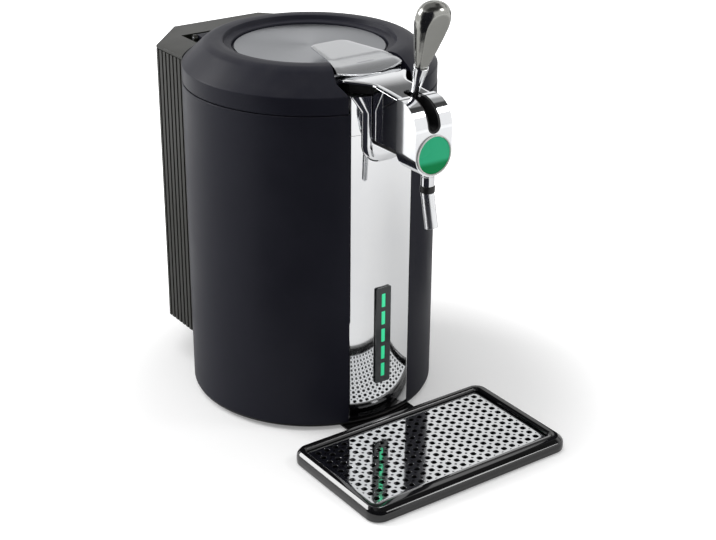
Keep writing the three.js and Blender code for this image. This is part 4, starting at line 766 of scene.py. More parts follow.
LATCH_PIVOT = (-93.4, 351.2)
plate = body("latch_cover", pressed_plate())
ear = np.vstack([arc(LATCH_PIVOT, 3.2, 16, math.pi, 2 * math.pi), [(-90.2, 358.0), (-96.4, 354.6)]])
EAR_OFFSET, EAR_HALF = 28, 2
for middle in (-EAR_OFFSET, EAR_OFFSET):
    shaped(plate, side_slab(ear, middle - EAR_HALF, middle + EAR_HALF, 0.3), "UNION")
hook = [
    (-90.2, 358.6), (-96.4, 354.8), (-96.6, 348), (-92.8, 348), (-92.8, 338.4), (-104.4, 338.4),
    (-104.4, 334.4), (-90.2, 334.4),
]
shaped(plate, side_slab(hook, -9, 9, 0.3), "UNION")
shaped(plate, side_slab(arc(LATCH_PIVOT, 1.8, 24), -60, 60, HAIR))
dressed(plate, satin_plate, "latch", ["latch_plate"], bevel=0.25)

# %% [markdown]
# ## The mirror front
#
# The panel is chromed plastic in two lengths, with a hairline between them. Each is a stack of
# crescents flush with the casing, and the bright line at its edge is the round of the crescent.
# What lies on the panel or on the casing starts a hairline off, at a radius of its own.

# %% Panel and level display
PANEL_HALF, PANEL_INNER, OFF_CASING = 34.9, 120.5, 122.8
for name, low, high in (("lower", 10, 301), ("upper", 301.3, 338)):
    piece = body("mirror_panel_" + name, strip(PANEL_HALF, low, high, PANEL_INNER, CASING_RADIUS))
    dressed(piece, mirror_panel, "dispenser", ["front_panel_" + name])

DISPLAY_HALF, DISPLAY_LOW, DISPLAY_HIGH = 8.8, 43.5, 145.5
DISPLAY_FACE, DISPLAY_BACK = 124.4, 122.85
outline = softened(oblong(-DISPLAY_HALF, DISPLAY_HALF, DISPLAY_LOW, DISPLAY_HIGH), 2.2)
display = body("level_strip", front_slab(outline, -DISPLAY_FACE, -DISPLAY_BACK))
BAR_HALF, BAR_GAP, BAR_HEIGHT, BAR_PITCH, BAR_COUNT = 2.3, 0.3, 14.0, 18.564, 5
BAR_FACE, BAR_BACK, POCKET_FLOOR = 124.35, 123.6, 123.5
bar_middles = (DISPLAY_LOW + DISPLAY_HIGH) / 2 + (np.arange(BAR_COUNT) - 2) * BAR_PITCH
for number, height in enumerate(bar_middles, 1):
    low, high = height - BAR_HEIGHT / 2, height + BAR_HEIGHT / 2
    halves = (BAR_HALF, BAR_HALF - BAR_GAP)
    pocket, light = (softened(oblong(-half, half, low, high), 0.8) for half in halves)
    shaped(display, front_slab(pocket, -130, -POCKET_FLOOR, HAIR))
    bar = body(f"level_light_{number}", front_slab(light, -BAR_FACE, -BAR_BACK, 0.2))
    dressed(bar, lit_green, "dispenser", [f"level_bar_{number}"])
dressed(display, smoked_grey, "dispenser", ["level_display"], bevel=0.15)

# %% [markdown]
# ## The tap
#
# A chrome collar on the panel carries the arm. It widens towards the lid and ends below in a
# half round. It isn't flat: its face swells from a thin edge, and that swell is what draws its
# outline in dark and bright lines. So the surface is a grid over height and width, and each
# point's distance from the outline says how far it stands off the panel.

# %% Collar
COLLAR_LOW, COLLAR_TOP, COLLAR_HALF, COLLAR_CORNER = 273.5, 338.0, 24.5, 18.0
FLARE_START, FLARE_SLOPE, COLLAR_FACE, SWELL, SWELL_WIDTH = 322.0, 0.65, 126.2, 2.7, 8.0


def swollen_collar(rows=72, columns=57):
    """Row i is a height z and column j an x = h(z) sin a. The distance from the outline is the
    corner's radius less the distance from the corner's centre, and the face falls by the
    swell along a quarter ellipse of that distance."""
    z = COLLAR_LOW + (COLLAR_TOP - COLLAR_LOW) * np.linspace(0, 1, rows) ** 1.7
    below = np.clip(COLLAR_LOW + COLLAR_CORNER - z, 0, COLLAR_CORNER)
    flare = np.clip(z - FLARE_START, 0, None) * FLARE_SLOPE
    half = COLLAR_HALF - COLLAR_CORNER + np.sqrt(COLLAR_CORNER**2 - below**2) + flare
    x = half[:, None] * np.sin(np.linspace(-math.pi / 2, math.pi / 2, columns))
    beside = np.clip(np.abs(x) - flare[:, None] - COLLAR_HALF + COLLAR_CORNER, 0, None)
    room = np.clip((COLLAR_CORNER - np.hypot(beside, below[:, None])) / SWELL_WIDTH, 0, 1)
    face = COLLAR_FACE - SWELL * (1 - np.sqrt(1 - (1 - room) ** 2))
    return skinned([level(crescent(x[i], OFF_CASING, face[i]), z[i]) for i in range(rows)])


dressed(body("tap_collar_shell", swollen_collar()), mirror_tap, "dispenser", ["tap_collar"])

# %% [markdown]
# The arm has three visible parts: a cover sheet on top that flares towards the latch plate, two
# mirror cheeks, and a black core whose lower edge shows. The cover is again a grid: its half
# width follows the flare and its height falls towards the head. The round rear end of the
# lever's slot is cut out of it.

# %% Arm
ARM_BENDS = ([60, 126, 194, 240], [350.4, 350.4, 344.0, 339.7])
ARM_EASE = np.linspace(-24, 24, 25)
HEAD_BACK, COVER_BACK, COVER_HALF, COVER_FLARED, COVER_THICKNESS = 166.0, 105.6, 17.2, 36.0, 2.6


def arm_cover(rows=48, columns=21):
    """Row s runs from the arc beside the latch plate to the head. The half width falls from the
    flared one to the plain one along f^2 (3 - 2 f), a smooth step."""
    s = np.linspace(0, 1, rows)[:, None]
    t = np.linspace(-1, 1, columns)
    f = np.clip((1 - s) * 1.9 - 0.9, 0, 1)
    x = (COVER_HALF + (COVER_FLARED - COVER_HALF) * f * f * (3 - 2 * f)) * t
    back = np.sqrt(COVER_BACK**2 - (COVER_FLARED * t) ** 2)
    distance = back + (HEAD_BACK - 0.3 - back) * s
    height = eased(distance, ARM_BENDS, ARM_EASE)
    return thin_sheet(x, distance, height, COVER_THICKNESS, 0.8, 1 / 12, 0.3)


SLOT_HALF, SLOT_BACK, SLOT_CENTRE = 7.0, 153.5, 326.0
slot_end = arc((0, -SLOT_BACK - SLOT_HALF), SLOT_HALF, 33, 0, math.pi)
slot_plan = np.vstack([slot_end, [(-SLOT_HALF, -180), (SLOT_HALF, -180)]])
cover = body("arm_cover_sheet", arm_cover())
shaped(cover, slab(slot_plan, 320, ABOVE, HAIR))
dressed(cover, mirror_tap, "dispenser", ["tap_arm_cover"])
cheek = softened(
    [(-165.7, 297), (-126.5, 297), (-126.5, 339), (-129.4, 346.9), (-165.7, 343.4)],
    [0.5, 0.5, 0.5, 1, 0.5],
)
CHEEK_INNER, CHEEK_OUTER = 14.9, 17.0
for name, near, far in (("left", -CHEEK_OUTER, -CHEEK_INNER), ("right", CHEEK_INNER, CHEEK_OUTER)):
    piece = body(f"arm_cheek_{name}", side_slab(cheek, near, far, 0.4))
    dressed(piece, mirror_tap, "dispenser", [f"tap_arm_side_{name}"])

# %% [markdown]
# The head is what two outlines share: from the front a tall shape with a half round bottom,
# from the side a block whose upper front corner is a large round nose. So two slabs are made
# and a boolean keeps their common body. Then the lever's slot, the cavity under it and the
# socket of the spout are cut. The slot's end in front is a half round.

# %% Head
HEAD_HALF, HEAD_FRONT, BADGE_HEIGHT, NOSE_RADIUS, SPOUT_REACH = 20.0, 194.0, 299.5, 25.0, 186.4
HEAD_TOP = float(eased(HEAD_BACK, ARM_BENDS, ARM_EASE))


def arch(middle, half, top, count=33):
    """A half circle below and straight sides up to a height, from the front."""
    low = arc((0, middle), half, count, math.pi, 2 * math.pi)
    return np.vstack([low, [(half, top), (-half, top)]])


def head_side(inset):
    """The head from the side, drawn in at the top, the nose and the front."""
    centre = (NOSE_RADIUS - HEAD_FRONT, HEAD_TOP - NOSE_RADIUS)
    nose = arc(centre, NOSE_RADIUS - inset, 32, math.pi / 2, math.pi)
    back = [(-HEAD_BACK, 270), (-HEAD_BACK, HEAD_TOP - inset)]
    return np.vstack([back, nose, [(inset - HEAD_FRONT, 270)]])


def over_spout(surface):
    """Carries a turned shape over to the spout's upright axis."""
    return surface[0] - [0, SPOUT_REACH, 0], surface[1]


outline = arch(BADGE_HEIGHT, HEAD_HALF, 355, 49)
head = body("tap_head_shell", front_slab(outline, -HEAD_FRONT - 5, -HEAD_BACK, HAIR))
shaped(head, side_slab(head_side(0), -25, 25, HAIR), "INTERSECT")
slot = front_slab(arch(SLOT_CENTRE, SLOT_HALF, ABOVE), -210, -160, HAIR)
cavity = block((-5.2, -191.8, 296), (5.2, -160, 320))
spout_socket = over_spout(lathed(oblong(0, 6.7, 260, 288.3), sides=48))
beer_way = over_spout(lathed(oblong(0, 4.2, 282, 298), sides=32))
for hollow in (slot, cavity, spout_socket, beer_way):
    shaped(head, hollow)
dressed(head, mirror_tap, "dispenser", ["tap_head"], bevel=1.1)

# %% [markdown]
# The slot is lined in black. The lining is a thin trough, the slot's own outline twice, and its
# edges follow the nose because it is cut with the same side outline.

# %% Slot lining
LINING_GAP, LINING_INNER, LINING_EDGE = 0.3, 1.7, 0.6
outline, inner_outline = (
    arch(SLOT_CENTRE, SLOT_HALF - inset, ABOVE) for inset in (LINING_GAP, LINING_INNER)
)
lining = body("slot_lining", front_slab(outline, -205, -HEAD_BACK - LINING_GAP, HAIR))
shaped(lining, side_slab(head_side(LINING_EDGE), -25, 25, HAIR), "INTERSECT")
shaped(lining, front_slab(inner_outline, -206, -160, HAIR))
dressed(lining, matt_black, "dispenser", ["lever_guide"], bevel=0.2)

# %% [markdown]
# The badge is a white ring with a domed green disc in it. A profile of radius against height
# is turned, and then the axis is laid along y, so that it faces the front.

# %% Badge
def facing(way, place, surface):
    """Lays a turned shape down: its axis runs backwards from a place, or to the front where the
    way is -1."""
    x, y, z = surface[0].T
    return np.column_stack([-way * x, way * z, y]) + place, surface[1]


BADGE_RADIUS = 17.0
badge_place = (0, -HEAD_FRONT, BADGE_HEIGHT)
ring = turned(oblong(17.3, 18.4, 0.3, 1.9), [0.2, 0.3, 0.45, 0.35], hollow=True, sides=96)
bezel = body("badge_bezel", facing(-1, badge_place, ring))
dressed(bezel, white_plastic, "dispenser", ["badge_ring"])
radius = np.linspace(BADGE_RADIUS, 0, 14)
dome = np.column_stack([radius, 0.9 + 0.9 * (1 - (radius / BADGE_RADIUS) ** 2)])
disc = lathed(np.vstack([[(0, 0.3), (BADGE_RADIUS, 0.3)], dome]), sides=96)
dressed(body("badge_dome", facing(-1, badge_place, disc)), badge_green, "dispenser", ["badge_disc"])

# %% [markdown]
# The spout is a chrome stub, a black ring and a chrome tube that leans forward. A leaning tube
# is a turned profile whose axis is carried to a new direction by a rotation.

# %% Spout
SPOUT_BORE, RING_LOW, TUBE_RADIUS = 4.2, 263.1, 6.1
TUBE_TOP, TUBE_TIP = (0, -SPOUT_REACH, RING_LOW), (0, -194, 230.5)


def leaning(surface, start, end):
    """Carries a shape on the upright axis to the line from start to end: height z moves to
    start + z times the line's direction."""
    along = (Vector(end) - Vector(start)).normalized()
    turn = np.array(Vector((0, 0, 1)).rotation_difference(along).to_matrix())
    return surface[0] @ turn.T + start, surface[1]


stub_profile = [
    (SPOUT_BORE, 268.9), (TUBE_RADIUS, 268.9), (TUBE_RADIUS, 277.9), (6.4, 278.5), (6.4, 288),
    (SPOUT_BORE, 288),
]
stub = turned(stub_profile, [0.3, 0.6, 0.3, 0.3, 0.6, 0.3], hollow=True, sides=64)
dressed(body("spout_stem", over_spout(stub)), mirror_tap, "dispenser", ["spout_stub"])
ring = turned(
    oblong(SPOUT_BORE, 6.8, RING_LOW, 268.6), [0.3, 0.7, 0.7, 0.3], hollow=True, sides=64
)
dressed(body("spout_ring", over_spout(ring)), matt_black, "dispenser", ["spout_collar"])
pipe = turned(
    oblong(SPOUT_BORE, TUBE_RADIUS, -8, math.dist(TUBE_TOP, TUBE_TIP)), [0.1, 0.1, 0.6, 0.4],
    hollow=True, sides=64,
)
tube = body("spout_pipe", leaning(pipe, TUBE_TOP, TUBE_TIP))
shaped(tube, block((-20, -220, RING_LOW - 0.3), (20, -150, 290)))
dressed(tube, satin_spout, "dispenser", ["spout_tube"], bevel=0.1)

# %% [markdown]
# The lever leans forward at rest. Its stem has a hub on the pivot, a thin neck and a cone that
# widens towards the grip; the grip is a cast club with a flat facet in front. The club's
# cross-section is an oval whose front is cut flat: where the oval passes the facet's distance
# it is pressed back to it, with a soft corner. The facet comes forward as the club widens.

# %% Lever
PIVOT, LEAN, HUB_RADIUS, HUB_HALF = (0, -156.3, 321.0), math.radians(17.6), 6.2, 4.3
LEVER_TIP = (0, PIVOT[1] - math.sin(LEAN), PIVOT[2] + math.cos(LEAN))
hub = side_slab(arc((0, 0), HUB_RADIUS), -HUB_HALF, HUB_HALF, 0.6)
stem = body("lever_stalk", leaning(hub, PIVOT, LEVER_TIP))
stalk = turned([(0, 0), (3, 0), (3, 28), (6.9, 55.9), (0, 55.9)], [0, 0.1, 9, 0.7, 0], sides=64)
shaped(stem, leaning(stalk, PIVOT, LEVER_TIP), "UNION")
shaped(stem, leaning(side_slab(arc((0, 0), PIN_HOLE, 24), -20, 20, HAIR), PIVOT, LEVER_TIP))
dressed(stem, mirror_tap, "lever", ["lever_stem"], bevel=0.2)

GRIP_LOW, GRIP_HIGH, GRIP_RADIUS, FACET_LOW, FACET_HIGH = 56.3, 118.8, 16.6, 4.62, 11.62
GRIP_SHARES = (
    [0, 0.02, 0.04, 0.11, 0.29, 0.48, 0.64, 0.74, 0.84, 0.92, 0.965, 0.99, 1.0],
    [0.36, 0.4, 0.42, 0.5, 0.68, 0.85, 0.97, 1.0, 0.95, 0.79, 0.58, 0.34, 0.0],
)


def grip_rings(rows=90, around=72):
    """At share s of the length the oval has half axes w(s) and 0.8 w(s), with w read from the
    table and smoothed. In front, where y is negative, y becomes log(exp 3y + exp -3f) / 3, a
    soft maximum of y and minus the facet's distance f, so the flat meets the oval in a round."""
    s = 1 - (1 - np.linspace(0, 1, rows)[:, None]) ** 1.6
    angle = np.linspace(0, 2 * math.pi, around, endpoint=False)
    spread = np.linspace(-0.02, 0.02, 9)
    width = GRIP_RADIUS * np.interp(np.clip(s + spread, 0, 1), *GRIP_SHARES).mean(-1)[:, None]
    width[-1] = 0
    facet = FACET_LOW + (FACET_HIGH - FACET_LOW) * s
    front = np.logaddexp(0.8 * width * np.sin(angle) * 3, -facet * 3) / 3
    height = GRIP_LOW + (GRIP_HIGH - GRIP_LOW) * s
    return np.stack([width * np.cos(angle), front, np.repeat(height, around, 1)], -1)


grip = body("lever_club", leaning(skinned(grip_rings()), PIVOT, LEVER_TIP))
dressed(grip, satin_grip, "lever", ["lever_grip"], sharp=math.radians(24))

# %% [markdown]
# ## The rear unit
#
# The rear unit is a ribbed housing. Its wall follows six corners in plan, and the ribs are a
# wave added to that line: at a distance d along each side the wall is drawn in by a flat
# bottomed groove every 7.2 mm. A texture could fake this, but the ribs show on the outline
# against the light, so they are in the shape.

# %% Ribbed housing
REAR_HALF, REAR_SHOULDER, REAR_BACK_HALF, REAR_BACK = 98.0, 126.0, 50.5, 176.0
REAR_LOW, REAR_HIGH, REAR_WALL = 43.0, 334.7, 3.2
RIB_PITCH, GROOVE_WIDTH, GROOVE_DEPTH, VENT_COUNT, VENT_HALF = 7.2, 2.6, 2.0, 10, 1.3
INLET_PLACE, BUTTON_PLACE = (-26, REAR_BACK, 66), (26, REAR_BACK, 66)
INLET_HOLE, BUTTON_HOLE = 7.3, 8.0


def six_corners(wall, tuck):
    """The housing's line in plan from the left front to the right front, drawn in by a wall. At
    the shoulders it is also drawn back by the tuck, which is wall tan 22.5 degrees."""
    side = REAR_HALF - wall
    left = [
        (-side, math.sqrt(OFF_CASING**2 - side**2)), (-side, REAR_SHOULDER - tuck),
        (tuck - REAR_BACK_HALF, REAR_BACK - wall),
    ]
    return np.array(left + [(-x, y) for x, y in left[::-1]])


def ribbed_line(corners):
    """Each side gets as many grooves as fit, centred on it. A groove is four offsets along the
    side, out, in, in and out, with sloped flanks, and inwards is to the right of the line."""
    points = [corners[0]]
    for start, end in zip(corners[:-1], corners[1:]):
        length = np.linalg.norm(end - start)
        along = (end - start) / length
        inward = np.array([along[1], -along[0]]) * GROOVE_DEPTH
        count = int(length // RIB_PITCH)
        middles = (length - (count - 1) * RIB_PITCH) / 2 + np.arange(count) * RIB_PITCH
        offsets = np.array([-0.5, -0.32, 0.32, 0.5]) * GROOVE_WIDTH
        where = start + along * (middles[:, None, None] + offsets[:, None])
        points += list((where + inward * np.array([[0], [1], [1], [0]])).reshape(-1, 2))
        points.append(end)
    return np.array(points)


outer_line = ribbed_line(six_corners(0, 0))
inner_line = six_corners(REAR_WALL, REAR_WALL * math.tan(math.pi / 8))[::-1]
housing_plan = np.vstack([outer_line, inner_line])
housing = body("ribbed_housing", slab(housing_plan, REAR_LOW, REAR_HIGH, 0.25))
start = math.acos(REAR_HALF / OFF_CASING)
against_casing = arc((0, 0), OFF_CASING, 60, start, math.pi - start)[1:-1]
floor_plan = np.vstack([outer_line, against_casing])
shaped(housing, slab(floor_plan, REAR_LOW, REAR_LOW + REAR_WALL, 0.25), "UNION")
vent_places = (np.arange(VENT_COUNT) - (VENT_COUNT - 1) / 2) * RIB_PITCH
vents = [block((x - VENT_HALF, 160, 98), (x + VENT_HALF, 190, 172)) for x in vent_places]
shaped(housing, together(*vents))
for (x, _, z), hole in ((INLET_PLACE, INLET_HOLE), (BUTTON_PLACE, BUTTON_HOLE)):
    shaped(housing, front_slab(arc((x, z), hole, 48), 160, 190, HAIR))
dressed(housing, ribbed_black, "dispenser", ["rear_cover"], bevel=0.2)

# %% [markdown]
# The top cover closes the housing. It is a plate with a recess behind the lid, so that the lid
# can tip back over its hinge, and four ears in the recess carry the pins.

# %% Top cover and hinge
PLATE_LOW, PLATE_HIGH, RECESS_FLOOR, RECESS_HALF, RECESS_REACH = 335.0, 338.5, 330.5, 61.5, 141.0
TUB_MARGIN, EAR_WIDTH, EAR_GAP, EAR_ROOT, PIN_HALF, PIN_PLAY = 2.4, 4.0, 0.6, 330.2, 11.6, 0.3
top_plan = np.vstack([six_corners(0, 0), against_casing])
top_cover = body("rear_lid_plate", slab(top_plan, PLATE_LOW, PLATE_HIGH, 0.9))


def behind_casing(low, high, top):
    """A block with the round of the casing, up to some height, taken out of it."""
    made = body("tub", block(low, high))
    shaped(made, lathed(oblong(0, OFF_CASING, 320, top)))
    return made


tub_low = (-RECESS_HALF - TUB_MARGIN, 0, RECESS_FLOOR - TUB_MARGIN)
tub_high = (RECESS_HALF + TUB_MARGIN, RECESS_REACH + TUB_MARGIN, PLATE_LOW + 0.5)
shaped(top_cover, behind_casing(tub_low, tub_high, 345), "UNION")
recess = (-RECESS_HALF, 0, RECESS_FLOOR), (RECESS_HALF, RECESS_REACH, 360)
shaped(top_cover, behind_casing(*recess, ABOVE))
ear = np.vstack([
    arc((HINGE_REACH, HINGE_HEIGHT), LUG_RADIUS, 24, 0, math.pi),
    [(HINGE_REACH - LUG_RADIUS, EAR_ROOT), (HINGE_REACH + LUG_RADIUS, EAR_ROOT)],
])
for middle in (-LUG_OFFSET, LUG_OFFSET):
    for end in (-1, 1):
        near = middle + end * (LUG_WIDTH / 2 + EAR_GAP)
        low, high = sorted((near, near + end * EAR_WIDTH))
        shaped(top_cover, side_slab(ear, low, high, 0.3), "UNION")
shaped(top_cover, side_slab(arc((HINGE_REACH, HINGE_HEIGHT), PIN_HOLE, 32), -80, 80, HAIR))
dressed(top_cover, ribbed_black, "dispenser", ["rear_top_cover"], bevel=0.3)
for name, middle in (("left", -LUG_OFFSET), ("right", LUG_OFFSET)):
    round_pin = arc((HINGE_REACH, HINGE_HEIGHT), PIN_HOLE - PIN_PLAY, 32)
    pin = body(f"lid_pin_{name}", side_slab(round_pin, middle - PIN_HALF, middle + PIN_HALF, 0.4))
    dressed(pin, plain_aluminium, "dispenser", [f"hinge_pin_{name}"])

# %% [markdown]
# Two round things sit low in the back: the power inlet, a socket with a pin in it, and the
# power button, which sinks a little when it is pressed. Both are turned and faced backwards.

# %% Inlet and button
socket = turned(
    [(0, -14), (7, -14), (7, 0), (3.2, 0), (3.2, -9), (1, -9), (1, -2.25), (0, -2.25)],
    [0, 0.5, 0.8, 0.5, 0.2, 0.1, 0.4, 0], sides=64,
)
inlet = body("inlet_socket", facing(1, INLET_PLACE, socket))
dressed(inlet, matt_black, "dispenser", ["power_inlet"])
key = turned(
    [(0, -16.3), (4, -16.3), (4, -5.3), (7.4, -5.3), (7.4, -0.5), (5.5, -0.3), (0, -0.9)],
    [0, 0.5, 0.3, 0.4, 0.8, 1.2, 0], sides=64,
)
button = body("power_key", facing(1, BUTTON_PLACE, key))
dressed(button, gloss_black, "button", ["power_button"])

# %% [markdown]
# ## The drip tray
#
# The tray is a flat pan under a broad glossy frame, which is wider in front than behind. The
# frame's section runs up the outside, over the rounded rim, down to the ledge of the grille,
# through the basin's wall and back under itself, where the pan sits. Each ring of the surface
# is a rounded rectangle at one height, and its four sides move inwards by different amounts,
# because the frame isn't equally wide all round. A tongue of the pan runs back under the
# casing, and the frame is notched for it.

# %% Tray frame and pan
def rounded_rectangle(half, front, back, radius, count=10):
    """Four quarter circles with the same number of points each, so that rings of different
    size join corner to corner."""
    x, near, far = half - radius, -front + radius, -back - radius
    centres = [(x, far), (-x, far), (-x, near), (x, near)]
    turns = np.arange(4) * math.pi / 2
    return np.vstack([
        arc(centre, radius, count, turn, turn + math.pi / 2) for centre, turn in zip(centres, turns)
    ])


# each is a half width, the distances of the front and of the back, and the corner's radius
TRAY_OUTER = np.array([114.5, 271.0, 135.5, 14.0])
SEAT = np.array([103.5, 253.1, 143.9, 3.5])
DRAWN_IN, SMALLER_CORNER = np.array([-1.0, -1.0, 1.0, 0.0]), np.array([-1.0, -1.0, 1.0, -1.0])
SEAT_HEIGHT, PAN_TOP, PAN_ROOM, PAN_INSET = 7.7, 2.2, 2.5, 5.3
TONGUE_HALF, TONGUE_FRONT, TONGUE_TOP, TONGUE_GAP = 40.0, 143.5, 3.0, 0.3
# share of the way from the outer rectangle to the seat's, and height, along the section
FRAME_SECTION = softened(
    [
        (0.16, 0), (0.03, 1.5), (0.0, 6.5), (0.05, 10.6), (0.36, 13.5), (0.72, 13.3), (0.93, 12.2),
        (1.0, 10.8), (1.0, SEAT_HEIGHT),
    ],
    [0, 0.8, 3, 2.4, 1.8, 1.5, 0.6, 0.4, 0],
    steps=5,
    closed=False,
)
sizes = [(TRAY_OUTER + (SEAT - TRAY_OUTER) * share, height) for share, height in FRAME_SECTION]
for inset, height in ((2.6, SEAT_HEIGHT), (3.0, SEAT_HEIGHT - 0.4), (3.0, PAN_ROOM)):
    sizes.append((SEAT + DRAWN_IN * inset, height))
for inset, height in ((5.0, PAN_ROOM), (5.0, 0.4), (4.6, 0.0)):
    sizes.append((TRAY_OUTER + SMALLER_CORNER * inset, height))
rings = [level(rounded_rectangle(*size), height) for size, height in sizes]
tray_frame = body("tray_frame", skinned(rings, looped=True))
half, front = TONGUE_HALF + TONGUE_GAP, TONGUE_FRONT + TONGUE_GAP
shaped(tray_frame, block((-half, -front, -5), (half, -120, TONGUE_TOP + TONGUE_GAP)))
dressed(tray_frame, gloss_black, "tray", ["tray_rim"], sharp=math.radians(50))
pan_plan = rounded_rectangle(*(TRAY_OUTER + SMALLER_CORNER * PAN_INSET))
pan = body("tray_pan", slab(pan_plan, 0, PAN_TOP, 0.4))
tongue = (-TONGUE_HALF, -TONGUE_FRONT, 0.8), (TONGUE_HALF, -100, TONGUE_TOP)
shaped(pan, block(*tongue, edge=0.4), "UNION")
dressed(pan, gloss_black, "tray", ["drip_tray"])

# %% [markdown]
# The grille is a punched sheet with a regular grid of holes, 20 by 11. One cell is worked out
# once: a square whose middle is a round-cornered hole, with the hole's edge rolled down a
# little as a punch leaves it. All the cells are that one shifted, in a single array sum, and a
# plain border closes the sheet.

# %% Punched grille
GRILLE_HALF, GRILLE_FRONT, GRILLE_BACK = 103.0, 252.6, 144.4
GRILLE_TOP, GRILLE_THICKNESS = 9.2, 1.2
COLUMNS, ROWS, PITCH, HOLE_REACH, ROLL = 20, 11, np.array([9.93, 9.3]), 2.7, 0.15


def punched_cell(corners=16):
    """Point j stands at angle 2 pi (j + 1/2) / 16 on five loops: the cell's edge, the hole's
    mouth, its rolled edge a little lower and smaller, its lower edge, and the cell's edge
    below. The hole is the superellipse |x|^3 + |y|^3 = r^3."""
    angle = (np.arange(corners) + 0.5) * 2 * math.pi / corners
    way = np.column_stack([np.cos(angle), np.sin(angle)])
    cell = way / np.abs(way).max(1, keepdims=True) * PITCH / 2
    hole = way / (np.abs(way) ** 3).sum(1, keepdims=True) ** (1 / 3) * HOLE_REACH
    mouth = hole * (1 + ROLL / HOLE_REACH)
    loops = [(cell, 0.0), (mouth, 0.0), (hole, -ROLL)]
    loops += [(hole, -GRILLE_THICKNESS), (cell, -GRILLE_THICKNESS)]
    return np.array([level(loop, z) for loop, z in loops])


points, faces = skinned(punched_cell(), filled=False)
columns = (np.arange(COLUMNS) - (COLUMNS - 1) / 2) * PITCH[0]
rows = (np.arange(ROWS) - (ROWS - 1) / 2) * PITCH[1] - (GRILLE_FRONT + GRILLE_BACK) / 2
shifts = np.stack(np.meshgrid(columns, rows, [GRILLE_TOP], indexing="ij"), -1).reshape(-1, 3)
starts = np.arange(len(shifts))[:, None, None] * len(points)
faces = (np.array(faces) + starts).reshape(-1, 4).tolist()
cells = (points + shifts[:, None]).reshape(-1, 3), faces
field = (COLUMNS * PITCH[0] / 2, PITCH[1] / 2 - rows[0], -rows[-1] - PITCH[1] / 2, 0.02)
sheet_size = np.array([GRILLE_HALF, GRILLE_FRONT, GRILLE_BACK, 3.0])
border = [
    (field, 0.0), (sheet_size + DRAWN_IN * 0.8 - [0, 0, 0, 0.4], 0.0),
    (sheet_size + DRAWN_IN * 0.2, -0.2), (sheet_size, -0.8), (sheet_size, -GRILLE_THICKNESS),
    (field, -GRILLE_THICKNESS),
]
edge = [level(rounded_rectangle(*size, count=6), GRILLE_TOP + drop) for size, drop in border]
grille = body("punched_grille", together(cells, skinned(edge, filled=False)))
dressed(grille, punched_steel, "grille", ["drip_grille"])

# %% [markdown]
# ## What stays as the CAD made it
#
# The remaining nodes are inside the machine or flat sided, so their shapes are right as they
# are. Each still gets the finish of what it is made of.

# %% Finishes of the carried-over nodes
CARRIED_OVER = [
    (black_rubber, ["foot_1", "foot_2", "foot_3", "foot_4"]),
    (circuit_green, ["display_board"]),
    (pale_foam, ["insulation"]),
    (white_plastic, ["thermoelectric_module", "pinch_block"]),
    (matt_black, ["fan_frame", "fan_impeller", "power_supply", "switch_body", "tap_arm_body"]),
    (plain_aluminium, ["latch_pin", "cold_block", "heat_sink", "tap_bracket", "lever_pin"]),
    (plain_aluminium, ["tap_screw_lower", "tap_screw_upper"]),
]
for (material, _), nodes in CARRIED_OVER:
    for node in nodes:
        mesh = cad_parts[node].data
        mesh.materials.clear()
        mesh.materials.append(material)
    print("carried over:", ", ".join(nodes), "as", material.name)

# %% [markdown]
# ## Floor, light and camera
#
# The photograph shows the machine on white, with a soft shadow under it. The floor is a broad
# sheet that curves up behind. Light falls on it as on pale grey paper. To the camera, to
# mirrors and through clear things it also glows a little, more with the distance from the
# machine, so the shadow stays near the feet and the rest is white. Light Path tells the rays
# apart, so the glow lights nothing.

# %% Floor
floor_paper, tree, paper = new_material(
    "floor paper", Base_Color=(0.82, 0.82, 0.82, 1.0), Roughness=0.9, Specular_IOR_Level=0.1,
    Emission_Color=(1.0, 1.0, 1.0, 1.0),
)
distance = placed(tree, "VectorMath", {0: on_object(tree)}, operation="LENGTH").outputs["Value"]
rays = placed(tree, "LightPath").outputs


def glow_for(kind, near, far, least, most):
    """A glow that grows between two distances from the machine, for one kind of ray."""
    away = ranged(tree, distance, (near, far), (least, most), interpolation_type="SMOOTHSTEP")
    return reckoned(tree, "MULTIPLY", away, rays[kind])


total = glow_for("Is Camera Ray", 0.18, 0.45, 0.22, 1.0)
for kind in ("Is Glossy Ray", "Is Transmission Ray"):
    total = reckoned(tree, "ADD", total, glow_for(kind, 0.4, 1.6, 0.0, 0.6))
tree.links.new(total, paper["Emission Strength"])


def studio_sheet(name, rows, material):
    """A sheet from rows of points in metres, which isn't part of the machine."""
    rows = np.asarray(rows, float)
    index = np.arange(rows.shape[0] * rows.shape[1]).reshape(rows.shape[:2])
    corners = [index[:-1, :-1], index[:-1, 1:], index[1:, 1:], index[1:, :-1]]
    mesh = bpy.data.meshes.new(name)
    faces = np.stack(corners, -1).reshape(-1, 4).tolist()
    mesh.from_pydata(rows.reshape(-1, 3).tolist(), [], faces)
    mesh.materials.append(material)
    return in_scene(name, mesh)


FLOOR_HALF, FLOOR_FRONT, FLOOR_RUN = 4.5, -3.0, 7.5
FLOOR_CURVE, FLOOR_RISE, LEVEL_SHARE = 1.5, 2.5, 0.6
run = np.linspace(0, 1, 25)
turn = np.clip(run - LEVEL_SHARE, 0, None) / (1 - LEVEL_SHARE) * math.pi / 2
depth = FLOOR_FRONT + FLOOR_RUN * np.clip(run / LEVEL_SHARE, 0, 1) + FLOOR_CURVE * np.sin(turn)
lift = FLOOR_RISE * (1 - np.cos(turn))
edges = [np.column_stack([np.full(25, x), depth, lift]) for x in (-FLOOR_HALF, FLOOR_HALF)]
floor = studio_sheet("floor", np.stack(edges, 1), floor_paper)
floor.data.shade_smooth()

